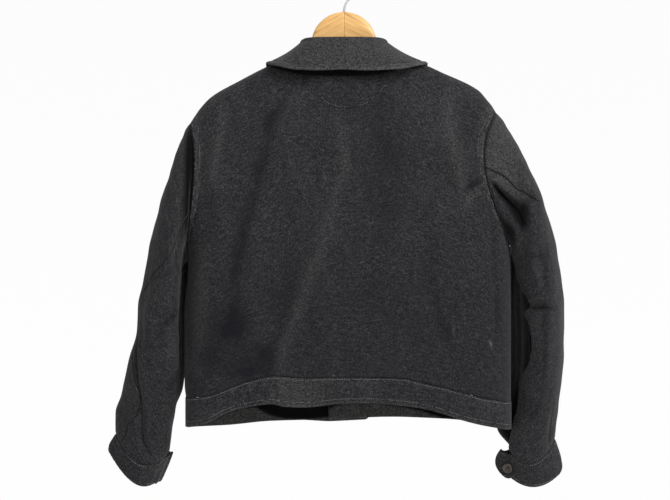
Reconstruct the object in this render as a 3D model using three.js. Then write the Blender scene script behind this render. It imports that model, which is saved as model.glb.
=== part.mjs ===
// Short flannel jacket hanging on a wide wooden hanger, in millimetres, +Z up.
// The origin is the inside top of the hook, where the rail carries it.
// The jacket's back faces -Y, its fronts face +Y, and +X is the wearer's right.
// Heights are written as drops: distances below the rail contact.
import * as THREE from 'three';

// Driving sizes
const CLOTH = 2.2;            // wall of the body and sleeves
const DOUBLED = 4.0;          // wall of bands, cuffs: two layers
const COLLAR_WALL = 3.2;
const SEAM_GAP = 0.3;
const NECK_SHARE = 0.3;       // neck half width over shoulder half width
const NECK_BACK = 32;         // neck loop behind and before the shoulder seam
const NECK_FRONT = 46;
const NECK_DIP_BACK = 7;      // how far the neck edge dips below the neck point
const NECK_DIP_FRONT = 66;
const UNDERARM = 0.44;        // share of the side edge taken by the armhole
const ARMHOLE_DEPTH = 58;     // half depth of the armhole loop
const OVERLAP = { from: -23, to: 37, step: 3.2 };
const BAND_HEIGHT = 42;
const BAND_PROUD = 0.9;
const SHOULDER_EASE = 130;    // drop over which the cloth leaves the wood
const WOOD_EASE = 6;          // from the wood's side to the cloth's face
const WOOD_SINK = 3.4;        // from the cloth's ridge down to the wood
const HANGER = { head: 52.5, headDrop: 114.5, headWall: 9, endWall: 17.5, reach: 212 };
const HOOK = { wire: 4, inside: 20 };
const BUTTON = { radius: 8.2, thick: 3.4, rim: 1.2, well: 4.6 };

// Levels of the back and fronts: the armhole's notches, then the side seam
const ARMHOLE_NOTCHES = [0, 0.014, 0.047, 0.105, 0.19, 0.285, 0.39, 0.5, 0.61, 0.725, 0.84, 0.945, 1];
const SIDE_NOTCHES = [0.1, 0.21, 0.33, 0.45, 0.57, 0.69, 0.8, 0.9, 1];
const LEVELS = [
  ...ARMHOLE_NOTCHES.map((n) => n * UNDERARM),
  ...SIDE_NOTCHES.map((n) => UNDERARM + n * (1 - UNDERARM)),
];
// Columns from the centre line out to the armhole and side seam
const NECK_COLUMNS = [0, 22.5, 45, 67.5, 90].map((deg) => NECK_SHARE * Math.sin(THREE.MathUtils.degToRad(deg)));
const SIDE_COLUMNS = [0.36, 0.46, 0.57, 0.68, 0.79, 0.88, 0.945, 0.984, 1];
const HALF_COLUMNS = [...NECK_COLUMNS, ...SIDE_COLUMNS];
const COLUMNS = [...HALF_COLUMNS.slice(1).reverse().map((c) => -c), ...HALF_COLUMNS];

// Each side as it hangs: shoulder tip, underarm, hem seam and scoop of the armhole
const SIDES = {
  left: {
    sign: -1, tip: 245.6, tipDrop: 239.6, under: 252.5, seamDrop: 678, scoopBack: 10, scoopFront: 20,
    shoulder: [
      { x: 73.5, drop: 128 }, { x: 126, drop: 151 }, { x: 164.8, drop: 171 }, { x: 211.8, drop: 197.7 },
      { x: 230, drop: 216.5 }, { x: 238.4, drop: 228.5 }, { x: 245.6, drop: 239.6 },
    ],
    seam: [
      { drop: 432, x: 252.5 }, { drop: 456, x: 250 }, { drop: 481, x: 250.5 }, { drop: 545, x: 256 },
      { drop: 659, x: 255 }, { drop: 678, x: 253 }, { drop: 724, x: 249.5 },
    ],
  },
  right: {
    sign: 1, tip: 243, tipDrop: 223, under: 264, seamDrop: 684, scoopBack: 29, scoopFront: 34,
    shoulder: [
      { x: 73.5, drop: 127 }, { x: 136, drop: 149 }, { x: 153.6, drop: 157.2 }, { x: 214.4, drop: 186.8 },
      { x: 229, drop: 203 }, { x: 237, drop: 213 }, { x: 243, drop: 223 },
    ],
    seam: [
      { drop: 425, x: 264 }, { drop: 443, x: 266 }, { drop: 480, x: 267.5 }, { drop: 659, x: 267.2 },
      { drop: 728, x: 267.2 },
    ],
  },
};

// The hem as it hangs: seam of the band and lower edge behind, lower edge in front
const BAND_SEAM_BACK = [
  { x: -253, drop: 678 }, { x: -212, drop: 670.5 }, { x: -178, drop: 658 }, { x: -150, drop: 649 },
  { x: -114, drop: 642.6 }, { x: -64, drop: 646 }, { x: 0, drop: 644.7 }, { x: 90, drop: 646 },
  { x: 120, drop: 652.5 }, { x: 165, drop: 661.5 }, { x: 216, drop: 673.8 }, { x: 267, drop: 684 },
];
const HEM_BACK = [
  { x: -250, drop: 723 }, { x: -217, drop: 716 }, { x: -190, drop: 701.5 }, { x: -165, drop: 693 },
  { x: -114, drop: 685.5 }, { x: -96, drop: 689.5 }, { x: -64, drop: 690.8 }, { x: 0, drop: 684.5 },
  { x: 37, drop: 684 }, { x: 114, drop: 691 }, { x: 155, drop: 700.4 }, { x: 188, drop: 711.6 },
  { x: 216, drop: 718.6 }, { x: 267, drop: 728 },
];
const HEM_FRONT = [
  { x: -250, drop: 725 }, { x: -193, drop: 723.5 }, { x: -118, drop: 717 }, { x: -24, drop: 714.5 },
  { x: 77, drop: 710.5 }, { x: 155, drop: 713 }, { x: 196, drop: 716 }, { x: 267, drop: 729 },
];

// How deep the body hangs, behind and before the side seams
const DEPTHS = [
  { drop: 130, back: 34, front: 44 }, { drop: 200, back: 45, front: 52 }, { drop: 290, back: 58, front: 62 },
  { drop: 400, back: 61, front: 65 }, { drop: 520, back: 58, front: 64 }, { drop: 640, back: 55, front: 62 },
  { drop: 730, back: 56, front: 61 },
];

// Largest folds of the back and fronts: a line from one point to the other, raised or sunk
const FOLDS_BACK = [
  { x: -100, drop: 400, toX: -80, toDrop: 640, width: 44, rise: -7 },
  { x: -150, drop: 520, toX: -130, toDrop: 650, width: 34, rise: 5 },
  { x: -20, drop: 430, toX: -25, toDrop: 640, width: 55, rise: 4 },
  { x: 120, drop: 430, toX: 135, toDrop: 650, width: 46, rise: -4 },
  { x: 232, drop: 330, toX: 180, toDrop: 350, width: 16, rise: -4 },
  { x: 215, drop: 400, toX: 225, toDrop: 640, width: 30, rise: 4 },
  { x: -215, drop: 330, toX: -215, toDrop: 600, width: 28, rise: 4 },
];
const FOLDS_FRONT = [
  { x: -110, drop: 420, toX: -120, toDrop: 650, width: 46, rise: -6 },
  { x: 118, drop: 410, toX: 140, toDrop: 650, width: 46, rise: -6 },
  { x: 175, drop: 460, toX: 180, toDrop: 640, width: 36, rise: 4 },
  { x: -190, drop: 380, toX: -180, toDrop: 640, width: 36, rise: 4 },
];

// Sleeves as they hang, ring by ring: outer and inner edge as seen from behind, half depth, how
// much lower the back hangs (sag), how far the armhole's hollow reaches in (scoop), how far the
// front wraps round the body's side (wrap), and how far a fold of it bulges in there (tuck)
const RIGHT_RINGS = [
  { outX: 257.6, outDrop: 242.8, inX: 266.6, inDrop: 436, y: 0, deep: 60, sag: 0, scoop: 18, wrap: 0 },
  { outX: 270.4, outDrop: 262.8, inX: 270.2, inDrop: 446, y: 0, deep: 61, sag: 0, scoop: 8, wrap: 2 },
  { outX: 281.5, outDrop: 283, inX: 271.6, inDrop: 456, y: 0, deep: 62, sag: 0, scoop: 2, wrap: 6 },
  { outX: 292.3, outDrop: 304, inX: 272.2, inDrop: 466, y: 0, deep: 63, sag: 0, scoop: 0, wrap: 12 },
  { outX: 304, outDrop: 328, inX: 272.5, inDrop: 477, y: 0, deep: 64, sag: 0, scoop: 0, wrap: 18 },
  { outX: 314.4, outDrop: 353, inX: 272.8, inDrop: 489, y: 0, deep: 64, sag: 0, scoop: 0, wrap: 23 },
  { outX: 324, outDrop: 382, inX: 273, inDrop: 503, y: 1, deep: 63, sag: 0, scoop: 0, wrap: 27 },
  { outX: 335, outDrop: 420, inX: 273.4, inDrop: 520, y: 3, deep: 62, sag: 0, scoop: 0, wrap: 30 },
  { outX: 342, outDrop: 453, inX: 274, inDrop: 538, y: 5, deep: 61, sag: 0, scoop: 0, wrap: 30 },
  { outX: 348.5, outDrop: 493, inX: 275, inDrop: 558, y: 8, deep: 60, sag: 0, scoop: 0, wrap: 30 },
  { outX: 351.8, outDrop: 528, inX: 275.5, inDrop: 580, y: 10, deep: 59, sag: 0, scoop: 0, wrap: 30 },
  { outX: 352.6, outDrop: 568, inX: 275.5, inDrop: 604, y: 12, deep: 57, sag: 0, scoop: 0, wrap: 30 },
  { outX: 352, outDrop: 608, inX: 275, inDrop: 632, y: 15, deep: 54, sag: 0, scoop: 0, wrap: 28 },
  { outX: 349, outDrop: 650, inX: 273.5, inDrop: 664, y: 19, deep: 50, sag: 2, scoop: 0, wrap: 24, tuck: 10 },
  { outX: 345, outDrop: 690, inX: 271, inDrop: 698, y: 23, deep: 44, sag: 8, scoop: 0, wrap: 16, tuck: 28 },
  { outX: 341, outDrop: 720, inX: 266.5, inDrop: 730, y: 27, deep: 38, sag: 18, scoop: 0, wrap: 6, tuck: 44 },
  { outX: 339.2, outDrop: 746, inX: 263, inDrop: 762, y: 30, deep: 31, sag: 30, scoop: 0, wrap: 0 },
];
const LEFT_RINGS = [
  { outX: 255, outDrop: 257, inX: 254.8, inDrop: 442, y: 0, deep: 60, sag: 0, scoop: 6, wrap: 0 },
  { outX: 264, outDrop: 276.4, inX: 256.6, inDrop: 452, y: 0, deep: 61, sag: 0, scoop: 3, wrap: 2 },
  { outX: 271, outDrop: 297, inX: 257.8, inDrop: 462, y: 0, deep: 62, sag: 0, scoop: 1, wrap: 5 },
  { outX: 277.6, outDrop: 318, inX: 258.6, inDrop: 472, y: 0, deep: 63, sag: 0, scoop: 0, wrap: 10 },
  { outX: 284.6, outDrop: 339, inX: 259.2, inDrop: 483, y: 0, deep: 64, sag: 0, scoop: 0, wrap: 15 },
  { outX: 291.5, outDrop: 361, inX: 259.8, inDrop: 495, y: 0, deep: 64, sag: 0, scoop: 0, wrap: 19 },
  { outX: 299.5, outDrop: 390, inX: 260.4, inDrop: 509, y: 1, deep: 63, sag: 0, scoop: 0, wrap: 23 },
  { outX: 307, outDrop: 421, inX: 261, inDrop: 525, y: 3, deep: 62, sag: 0, scoop: 0, wrap: 26 },
  { outX: 314, outDrop: 452, inX: 261.4, inDrop: 542, y: 5, deep: 61, sag: 0, scoop: 0, wrap: 28 },
  { outX: 321.6, outDrop: 494, inX: 261.6, inDrop: 562, y: 8, deep: 60, sag: 0, scoop: 0, wrap: 28 },
  { outX: 329, outDrop: 530, inX: 261.4, inDrop: 585, y: 10, deep: 59, sag: 0, scoop: 0, wrap: 28 },
  { outX: 331.4, outDrop: 569, inX: 261, inDrop: 610, y: 12, deep: 57, sag: 0, scoop: 0, wrap: 27 },
  { outX: 341.9, outDrop: 609, inX: 260.6, inDrop: 636, y: 15, deep: 54, sag: 0, scoop: 0, wrap: 25 },
  { outX: 352, outDrop: 651, inX: 262.5, inDrop: 667, y: 19, deep: 49, sag: 4, scoop: 0, wrap: 20 },
  { outX: 359.8, outDrop: 680, inX: 270, inDrop: 698, y: 23, deep: 43, sag: 12, scoop: 0, wrap: 10 },
  { outX: 367, outDrop: 706, inX: 276.3, inDrop: 731, y: 27, deep: 36, sag: 22, scoop: 0, wrap: 3 },
  { outX: 367.5, outDrop: 738, inX: 280, inDrop: 767, y: 30, deep: 29, sag: 33, scoop: 0, wrap: 0 },
];
// Long folds of the sleeves: ring range, place round the ring in degrees, width in degrees, rise
const SLEEVE_FOLDS = {
  left: [
    { from: 9, to: 16, at: -62, turn: -8, width: 13, rise: 5 },
    { from: 8, to: 15, at: -38, turn: -6, width: 12, rise: -4 },
    { from: 2, to: 8, at: -128, turn: 10, width: 15, rise: -5 },
  ],
  right: [
    { from: 1, to: 6, at: -128, turn: 10, width: 18, rise: -5 },
    { from: 6, to: 10, at: -112, turn: 24, width: 16, rise: -4 },
    { from: 8, to: 15, at: -92, turn: -14, width: 15, rise: 4 },
  ],
};
// The back seam of each sleeve runs from the armhole to the outer edge and back to the cuff;
// the front seam runs along the hidden side
const BACK_SEAM = [
  { ring: 0, deg: -90 }, { ring: 3, deg: -62 }, { ring: 6, deg: -30 }, { ring: 9, deg: -8 },
  { ring: 13, deg: -6 }, { ring: 15, deg: -22 }, { ring: 17, deg: -42 },
];
const FRONT_SEAM = [{ ring: 0, deg: 118 }, { ring: 8, deg: 132 }, { ring: 17, deg: 140 }];

// Cuffs: lower edge as seen from behind, depth, sag of its back, length and turn of the tab, how
// far its corners are rounded off, and where its button sits: share of the height and degrees
const CUFFS = {
  left: {
    outX: 380, outDrop: 772, inX: 298, inDrop: 813, y: 34, deep: 15, sag: 25, tab: 11, turn: 62,
    round: 2, buttonShare: 0.5, buttonDeg: 124,
  },
  right: {
    outX: 353, outDrop: 803, inX: 262, inDrop: 803, y: 36, deep: 14, sag: 20, tab: 18, turn: 0,
    round: 8, buttonShare: 0.56, buttonDeg: -156,
  },
};
const CUFF_OPEN = 150;        // degrees from the outer crease to where the tab begins
const TAB_LIFT = 7;
const CUFF_ROWS = [0, 0.33, 0.67, 1];

// The collar, half of it: fold line and outer edge, from the centre back to the front point
const COLLAR = [
  { deg: 0, foldX: 0, foldY: -37, foldDrop: 103.5, edgeX: 0, edgeY: -57, edgeDrop: 155 },
  { deg: 22.5, foldX: 26, foldY: -35.5, foldDrop: 103.5, edgeX: 44, edgeY: -56, edgeDrop: 156.5 },
  { deg: 45, foldX: 47, foldY: -29, foldDrop: 103.6, edgeX: 80, edgeY: -51, edgeDrop: 154.5 },
  { deg: 67.5, foldX: 60, foldY: -17, foldDrop: 104.4, edgeX: 110, edgeY: -36, edgeDrop: 148 },
  { deg: 90, foldX: 66, foldY: -1, foldDrop: 108, edgeX: 127, edgeY: -2, edgeDrop: 143.5 },
  { deg: 112.5, foldX: 63, foldY: 22, foldDrop: 121, edgeX: 125, edgeY: 42, edgeDrop: 158 },
  { deg: 135, foldX: 50, foldY: 41, foldDrop: 144, edgeX: 107, edgeY: 61, edgeDrop: 190 },
  { deg: 157.5, foldX: 28, foldY: 54, foldDrop: 166, edgeX: 79, edgeY: 70, edgeDrop: 219 },
  { deg: 172, foldX: 11, foldY: 60, foldDrop: 176, edgeX: 53, edgeY: 73, edgeDrop: 239 },
];
const FOLD_RADIUS = 4.6;
const FALL_STEPS = [0.25, 0.5, 0.75, 1];
const FRONT_BUTTONS = [
  { drop: 232, gap: 0.85, onBand: false }, { drop: 346, gap: 0.6, onBand: false },
  { drop: 460, gap: 0.6, onBand: false }, { drop: 574, gap: 0.6, onBand: false },
  { drop: 695, gap: 0.6, onBand: true },
];
const BUTTON_COLUMN = 7;
const CUFF_BUTTON_GAP = 1;

// Materials
const finish = (color, roughness, metalness = 0) => new THREE.MeshStandardMaterial({ color, roughness, metalness });
const FLANNEL = 0x35353a;
const HORN = 0x33241c;
const HONEY_WOOD = 0xdcae6c;
const STEEL = 0xb9bbbd;

const garment = new THREE.Group();

function place(name, geometry, material) {
  const mesh = new THREE.Mesh(geometry, material);
  mesh.name = name;
  garment.add(mesh);
  return mesh;
}

// Interpolation in the tables
const { lerp: mix, clamp, degToRad } = THREE.MathUtils;

function between(rows, key, at, value) {
  if (at <= rows[0][key]) return rows[0][value];
  for (let i = 1; i < rows.length; i += 1) {
    if (at <= rows[i][key]) {
      const share = (at - rows[i - 1][key]) / (rows[i][key] - rows[i - 1][key]);
      return mix(rows[i - 1][value], rows[i][value], share);
    }
  }
  return rows[rows.length - 1][value];
}

const ease = (t) => THREE.MathUtils.smoothstep(t, 0, 1);
const quarterRound = (t) => Math.sqrt(Math.max(0, 1 - (1 - clamp(t, 0, 1)) ** 2));

// A cloth wall: a surface given as a function of two lists, and the same points moved in by the
// wall. facing is 1 where the rows' way crossed with the columns' way leaves the cloth's face.
// An edge rule keeps an edge's inner points on their own side of the seam.
function clothWall(surface, rows, columns, wall, facing, edgeRule) {
  const step = 1e-3;
  const outer = [];
  const inner = [];
  rows.forEach((row, i) => {
    columns.forEach((column, j) => {
      const point = surface(row, column);
      const down = surface(Math.min(row + step, rows[rows.length - 1]), column)
        .sub(surface(Math.max(row - step, rows[0]), column));
      const across = surface(row, Math.min(column + step, columns[columns.length - 1]))
        .sub(surface(row, Math.max(column - step, columns[0])));
      const inward = new THREE.Vector3().crossVectors(down, across).normalize().multiplyScalar(-facing);
      if (edgeRule) edgeRule(inward, { i, j, column, lastRow: rows.length - 1, lastColumn: columns.length - 1 });
      outer.push(point);
      inner.push(point.clone().addScaledVector(inward.normalize(), wall));
    });
  });
  return closeSheet(outer, inner, rows.length, columns.length, facing);
}

// Joins an outer and an inner grid of points into one closed body
function closeSheet(outer, inner, rowCount, columnCount, facing) {
  const faces = [];
  const base = outer.length;
  const at = (i, j) => i * columnCount + j;
  const quad = (a, b, c, d) => {
    if (facing > 0) faces.push(a, b, c, a, c, d);
    else faces.push(a, c, b, a, d, c);
  };
  for (let i = 0; i < rowCount - 1; i += 1) {
    for (let j = 0; j < columnCount - 1; j += 1) {
      const corners = [at(i, j), at(i + 1, j), at(i + 1, j + 1), at(i, j + 1)];
      quad(...corners);
      const [a, b, c, d] = corners.map((k) => k + base);
      quad(a, d, c, b);
    }
  }
  for (let j = 0; j < columnCount - 1; j += 1) {
    const last = rowCount - 1;
    quad(at(0, j), at(0, j + 1), at(0, j + 1) + base, at(0, j) + base);
    quad(at(last, j + 1), at(last, j), at(last, j) + base, at(last, j + 1) + base);
  }
  for (let i = 0; i < rowCount - 1; i += 1) {
    const last = columnCount - 1;
    quad(at(i + 1, 0), at(i, 0), at(i, 0) + base, at(i + 1, 0) + base);
    quad(at(i, last), at(i + 1, last), at(i + 1, last) + base, at(i, last) + base);
  }
  const geometry = new THREE.BufferGeometry();
  const points = [...outer, ...inner].flatMap((p) => [p.x, p.y, p.z]);
  geometry.setAttribute('position', new THREE.Float32BufferAttribute(points, 3));
  geometry.setIndex(faces);
  return geometry;
}

// The body's outlines
const sideOf = (x) => (x < 0 ? SIDES.left : SIDES.right);

function armholeAngle(level) {
  return Math.acos(clamp(1 - 2 * (level / UNDERARM), -1, 1));
}

function edgePoint(side, level, face) {
  const drop = mix(side.tipDrop, side.seamDrop, level);
  if (level >= UNDERARM) return { x: side.sign * between(side.seam, 'drop', drop, 'x'), drop, y: 0 };
  const angle = armholeAngle(level);
  const scoop = face < 0 ? side.scoopBack : side.scoopFront;
  const line = mix(side.tip, side.under, level / UNDERARM);
  const x = line - scoop * Math.sin(angle) ** 2 * (1 + 0.25 * Math.cos(angle));
  return { x: side.sign * x, drop, y: face * ARMHOLE_DEPTH * Math.sin(angle) };
}

function topDrop(column, face) {
  const across = Math.abs(column) / NECK_SHARE;
  const side = sideOf(column);
  if (across >= 1) return between(side.shoulder, 'x', Math.abs(column) * side.tip, 'drop');
  const dip = face < 0 ? NECK_DIP_BACK : NECK_DIP_FRONT;
  const neckPoint = mix(SIDES.left.shoulder[0].drop, SIDES.right.shoulder[0].drop, (column / NECK_SHARE + 1) / 2);
  return neckPoint + dip * (1 - across ** 2);
}

function hangerWall(x) {
  return mix(HANGER.headWall, HANGER.endWall, clamp(Math.abs(x) / HANGER.reach, 0, 1));
}

function foldRise(folds, x, drop) {
  return folds.reduce((sum, fold) => {
    const run = new THREE.Vector2(fold.toX - fold.x, fold.toDrop - fold.drop);
    const from = new THREE.Vector2(x - fold.x, drop - fold.drop);
    const along = clamp(from.dot(run) / run.lengthSq(), 0, 1);
    const away = from.sub(run.clone().multiplyScalar(along)).length();
    const fade = Math.exp(-((away / fold.width) ** 2));
    return sum + fold.rise * fade * Math.sin(Math.PI * clamp(along, 0.12, 0.88));
  }, 0);
}

// A point of the body's outer face; face is -1 behind and +1 in front
function bodyPoint(level, column, face) {
  const left = edgePoint(SIDES.left, level, face);
  const right = edgePoint(SIDES.right, level, face);
  const x = mix(left.x, right.x, (column + 1) / 2);
  const bottom = face < 0 ? between(BAND_SEAM_BACK, 'x', x, 'drop') : between(HEM_FRONT, 'x', x, 'drop') - BAND_HEIGHT;
  const seam = x < 0 ? SIDES.left.seamDrop : SIDES.right.seamDrop;
  const edgeShare = Math.abs(column) ** 6;
  const top = topDrop(column, face);
  const drop = mix(top, mix(bottom, seam, edgeShare), level);
  const below = drop - top;

  const edge = column < 0 ? left : right;
  const share = Math.abs(column);
  const hang = between(DEPTHS, 'drop', drop, face < 0 ? 'back' : 'front');
  const rounding = Math.sqrt(Math.max(0, 1 - share ** 4));
  const atEdge = Math.abs(edge.y);
  const full = atEdge + (hang - atEdge) * rounding;

  const neck = face < 0 ? NECK_BACK : NECK_FRONT;
  const neckShare = share / NECK_SHARE;
  const neckY = neckShare < 1 ? neck * Math.sqrt(1 - neckShare ** 2) : 0;
  const overWood = hangerWall(x) + WOOD_EASE;
  const start = Math.max(neckY, overWood * quarterRound(below / overWood));
  const settle = ease(below / SHOULDER_EASE);
  const nearArmhole = share ** 8;
  let y = start + (full - start) * settle;
  y = mix(y, atEdge, level < UNDERARM ? nearArmhole : share >= 1 ? 1 : 0);
  const quiet = Math.min(1, below / 60) * (1 - share ** 6);
  y += quiet * foldRise(face < 0 ? FOLDS_BACK : FOLDS_FRONT, x, drop);
  return new THREE.Vector3(x, face * y, -drop);
}

// Seams lie in planes: the side and shoulder seams in y, the armhole in x, the band's seam in z
const LAST_LEVEL = LEVELS.length - 1;
const UNDERARM_LEVEL = ARMHOLE_NOTCHES.length - 1;

function panelEdges(leftIsSeam, rightIsSeam) {
  return (inward, { i, j, column, lastRow, lastColumn }) => {
    const atLeft = j === 0 && leftIsSeam;
    const atRight = j === lastColumn && rightIsSeam;
    if (i === 0 && Math.abs(column) >= NECK_SHARE) inward.y = 0;
    if (i === lastRow) inward.z = 0;
    if (atLeft && i < UNDERARM_LEVEL) inward.x = Math.max(inward.x, 0);
    if (atRight && i < UNDERARM_LEVEL) inward.x = Math.min(inward.x, 0);
    if ((atLeft || atRight) && i >= UNDERARM_LEVEL) inward.y = 0;
  };
}

// Half of a seam's gap, taken off each piece that meets there
function withSeamGap(point, level, column, face) {
  const half = SEAM_GAP / 2;
  const atTop = level <= 0;
  const atSide = Math.abs(column) >= 1 && level >= UNDERARM - 1e-6;
  if (atTop || atSide) point.y += face * half;
  if (level >= 1) point.z += half;
  return point;
}

place('jacket_back', clothWall(
  (level, column) => withSeamGap(bodyPoint(level, column, -1), level, column, -1),
  LEVELS, COLUMNS, CLOTH, 1, panelEdges(true, true),
), finish(FLANNEL, 0.95));

// Fronts: each from its side seam past the centre, the left one lying over the right one
function columnOfX(x, level) {
  const left = edgePoint(SIDES.left, level, 1).x;
  const right = edgePoint(SIDES.right, level, 1).x;
  return (2 * (x - left)) / (right - left) - 1;
}

function frontPoint(level, share, sideName) {
  const overlapped = sideName === 'left';
  const freeEdge = columnOfX(overlapped ? OVERLAP.to : OVERLAP.from, level);
  const past = overlapped ? Math.max(share, 0) : Math.min(share, 0);
  const column = past === 0 ? share : Math.abs(share) * freeEdge;
  const point = bodyPoint(level, column, 1);
  if (overlapped) point.y += OVERLAP.step * ease((point.x - (OVERLAP.from - 34)) / 30);
  return withSeamGap(point, level, column, 1);
}

const LEFT_FRONT_COLUMNS = [...COLUMNS.filter((c) => c <= 0), 0.5, 1];
const RIGHT_FRONT_COLUMNS = [-1, -0.5, ...COLUMNS.filter((c) => c >= 0)];
place('front_left', clothWall(
  (level, share) => frontPoint(level, share, 'left'),
  LEVELS, LEFT_FRONT_COLUMNS, CLOTH, -1, panelEdges(true, false),
), finish(FLANNEL, 0.95));
place('front_right', clothWall(
  (level, share) => frontPoint(level, share, 'right'),
  LEVELS, RIGHT_FRONT_COLUMNS, CLOTH, -1, panelEdges(false, true),
), finish(FLANNEL, 0.95));

// Hem bands continue each panel's lower edge, two layers thick and a little proud
const BAND_ROWS = [0, 0.25, 0.75, 1];

function bandPoint(share, panelPoint, hem, face) {
  const top = panelPoint.clone();
  const hemDrop = between(hem, 'x', top.x, 'drop');
  const drop = mix(-top.z + SEAM_GAP, hemDrop, share);
  top.y += face * BAND_PROUD;
  top.z = -drop;
  return top;
}

const bandEdges = (leftIsSeam, rightIsSeam) => (inward, { j, lastColumn }) => {
  inward.z = 0;
  if ((j === 0 && leftIsSeam) || (j === lastColumn && rightIsSeam)) inward.y = 0;
};

const sideProud = (point, column) => {
  if (Math.abs(column) >= 1) point.x += Math.sign(column) * BAND_PROUD;
  return point;
};

place('hem_band_back', clothWall(
  (share, column) => {
    const edge = withSeamGap(bodyPoint(1, column, -1), 1, column, -1);
    const point = bandPoint(share, edge, HEM_BACK, Math.abs(column) >= 1 ? 0 : -1);
    return sideProud(point, column);
  },
  BAND_ROWS, COLUMNS, DOUBLED, 1, bandEdges(true, true),
), finish(FLANNEL, 0.95));
[['left', LEFT_FRONT_COLUMNS], ['right', RIGHT_FRONT_COLUMNS]].forEach(([sideName, columns]) => {
  const isLeft = sideName === 'left';
  place(`hem_band_${sideName}`, clothWall(
    (share, column) => {
      const atSeam = isLeft ? column <= -1 : column >= 1;
      const edge = frontPoint(1, column, sideName);
      const point = bandPoint(share, edge, HEM_FRONT, atSeam ? 0 : 1);
      if (isLeft) point.y += 2 * ease((point.x - (OVERLAP.from - 34)) / 30);
      return atSeam ? sideProud(point, column) : point;
    },
    BAND_ROWS, columns, DOUBLED, -1, bandEdges(isLeft, !isLeft),
  ), finish(FLANNEL, 0.95));
});

// Sleeves. Angle 0 is the outer edge, 180 the inner edge, negative angles lie behind.
const armholeDegrees = ARMHOLE_NOTCHES.map((n) => THREE.MathUtils.radToDeg(Math.acos(clamp(1 - 2 * n, -1, 1))));

function sleeveFold(folds, ring, deg) {
  return folds.reduce((sum, fold) => {
    if (ring <= fold.from || ring >= fold.to) return sum;
    const along = (ring - fold.from) / (fold.to - fold.from);
    const away = (deg - fold.at - fold.turn * along) / fold.width;
    return sum + fold.rise * Math.sin(Math.PI * along) * Math.exp(-(away ** 2));
  }, 0);
}

function sleevePoint(sideName, ring, deg) {
  const side = SIDES[sideName];
  const rings = sideName === 'left' ? LEFT_RINGS : RIGHT_RINGS;
  const angle = degToRad(deg);
  const low = clamp(Math.floor(ring), 0, rings.length - 1);
  const armhole = () => {
    const share = (1 - Math.cos(angle)) / 2;
    const point = edgePoint(side, Math.min(share * UNDERARM, UNDERARM - 1e-9), Math.sin(angle) < 0 ? -1 : 1);
    return new THREE.Vector3(point.x + side.sign * SEAM_GAP, point.y, -point.drop);
  };
  const onRing = (row) => {
    const cos = Math.cos(angle);
    const sin = Math.sin(angle);
    const inward = row.wrap + (sin > 0 ? row.tuck ?? 0 : 0);
    const x = mix(row.inX, row.outX, (1 + cos) / 2) - row.scoop * sin ** 2 - inward * sin * (1 - cos) / 2;
    const drop = mix(row.inDrop, row.outDrop, (1 + cos) / 2) + (sin < 0 ? row.sag : 0) * sin ** 2;
    return new THREE.Vector3(side.sign * x, row.y + row.deep * sin, -drop);
  };
  const from = low === 0 ? armhole() : onRing(rings[low - 1]);
  const to = onRing(rings[Math.min(low, rings.length - 1)]);
  const point = from.clone().lerp(to, ring - low);
  const rise = sleeveFold(SLEEVE_FOLDS[sideName], ring, deg);
  const row = rings[clamp(low, 0, rings.length - 1)];
  const outward = new THREE.Vector3(
    side.sign * Math.cos(angle) * row.deep, Math.sin(angle) * (row.outX - row.inX + 60) * 0.5, 0,
  ).normalize();
  return point.addScaledVector(outward, rise);
}

const LAST_RING = RIGHT_RINGS.length;
const RINGS = Array.from({ length: LAST_RING + 1 }, (_, k) => k);
const seamDegrees = (seam, ring) => between(seam, 'ring', ring, 'deg');

function sleevePanel(sideName, start, end, notches) {
  const first = notches[0];
  const last = notches[notches.length - 1];
  return (ring, column) => {
    const share = (column - first) / (last - first);
    const radius = 50;
    const half = THREE.MathUtils.radToDeg(SEAM_GAP / 2 / radius);
    const trim = share <= 0 ? half : share >= 1 ? -half : 0;
    const deg = mix(start(ring), end(ring), share) + trim;
    return sleevePoint(sideName, ring, deg);
  };
}

// At the armhole no wall may lean towards the body, and at the cuff none may lean down
const sleeveEdges = (sign) => (inward, { i, lastRow }) => {
  if (i === 0 && inward.x * sign < 0) inward.x = 0;
  if (i === lastRow) inward.z = 0;
};

const signedNotches = [...armholeDegrees.slice(1).reverse().map((d) => -d), ...armholeDegrees];
const backSeamNotch = signedNotches.reduce((best, d) => (Math.abs(d + 90) < Math.abs(best + 90) ? d : best), 0);
const frontSeamNotch = signedNotches.reduce((best, d) => (Math.abs(d - 118) < Math.abs(best - 118) ? d : best), 0);
const topNotches = signedNotches.filter((d) => d >= backSeamNotch - 1e-6 && d <= frontSeamNotch + 1e-6);
const underNotches = [
  ...signedNotches.filter((d) => d >= frontSeamNotch - 1e-6).map((d) => d - 360),
  ...signedNotches.filter((d) => d > -180 + 1e-6 && d <= backSeamNotch + 1e-6),
];
const backSeam = (ring) => seamDegrees(BACK_SEAM, ring) + (backSeamNotch + 90) * Math.max(0, 1 - ring);
const frontSeam = (ring) => seamDegrees(FRONT_SEAM, ring) + (frontSeamNotch - 118) * Math.max(0, 1 - ring);

['left', 'right'].forEach((sideName) => {
  const { sign } = SIDES[sideName];
  place(`sleeve_${sideName}_top`, clothWall(
    sleevePanel(sideName, backSeam, frontSeam, topNotches),
    RINGS, topNotches, CLOTH, sign, sleeveEdges(sign),
  ), finish(FLANNEL, 0.95));
  place(`sleeve_${sideName}_under`, clothWall(
    sleevePanel(sideName, (ring) => frontSeam(ring) - 360, backSeam, underNotches),
    RINGS, underNotches, CLOTH, sign, sleeveEdges(sign),
  ), finish(FLANNEL, 0.95));
});

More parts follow.
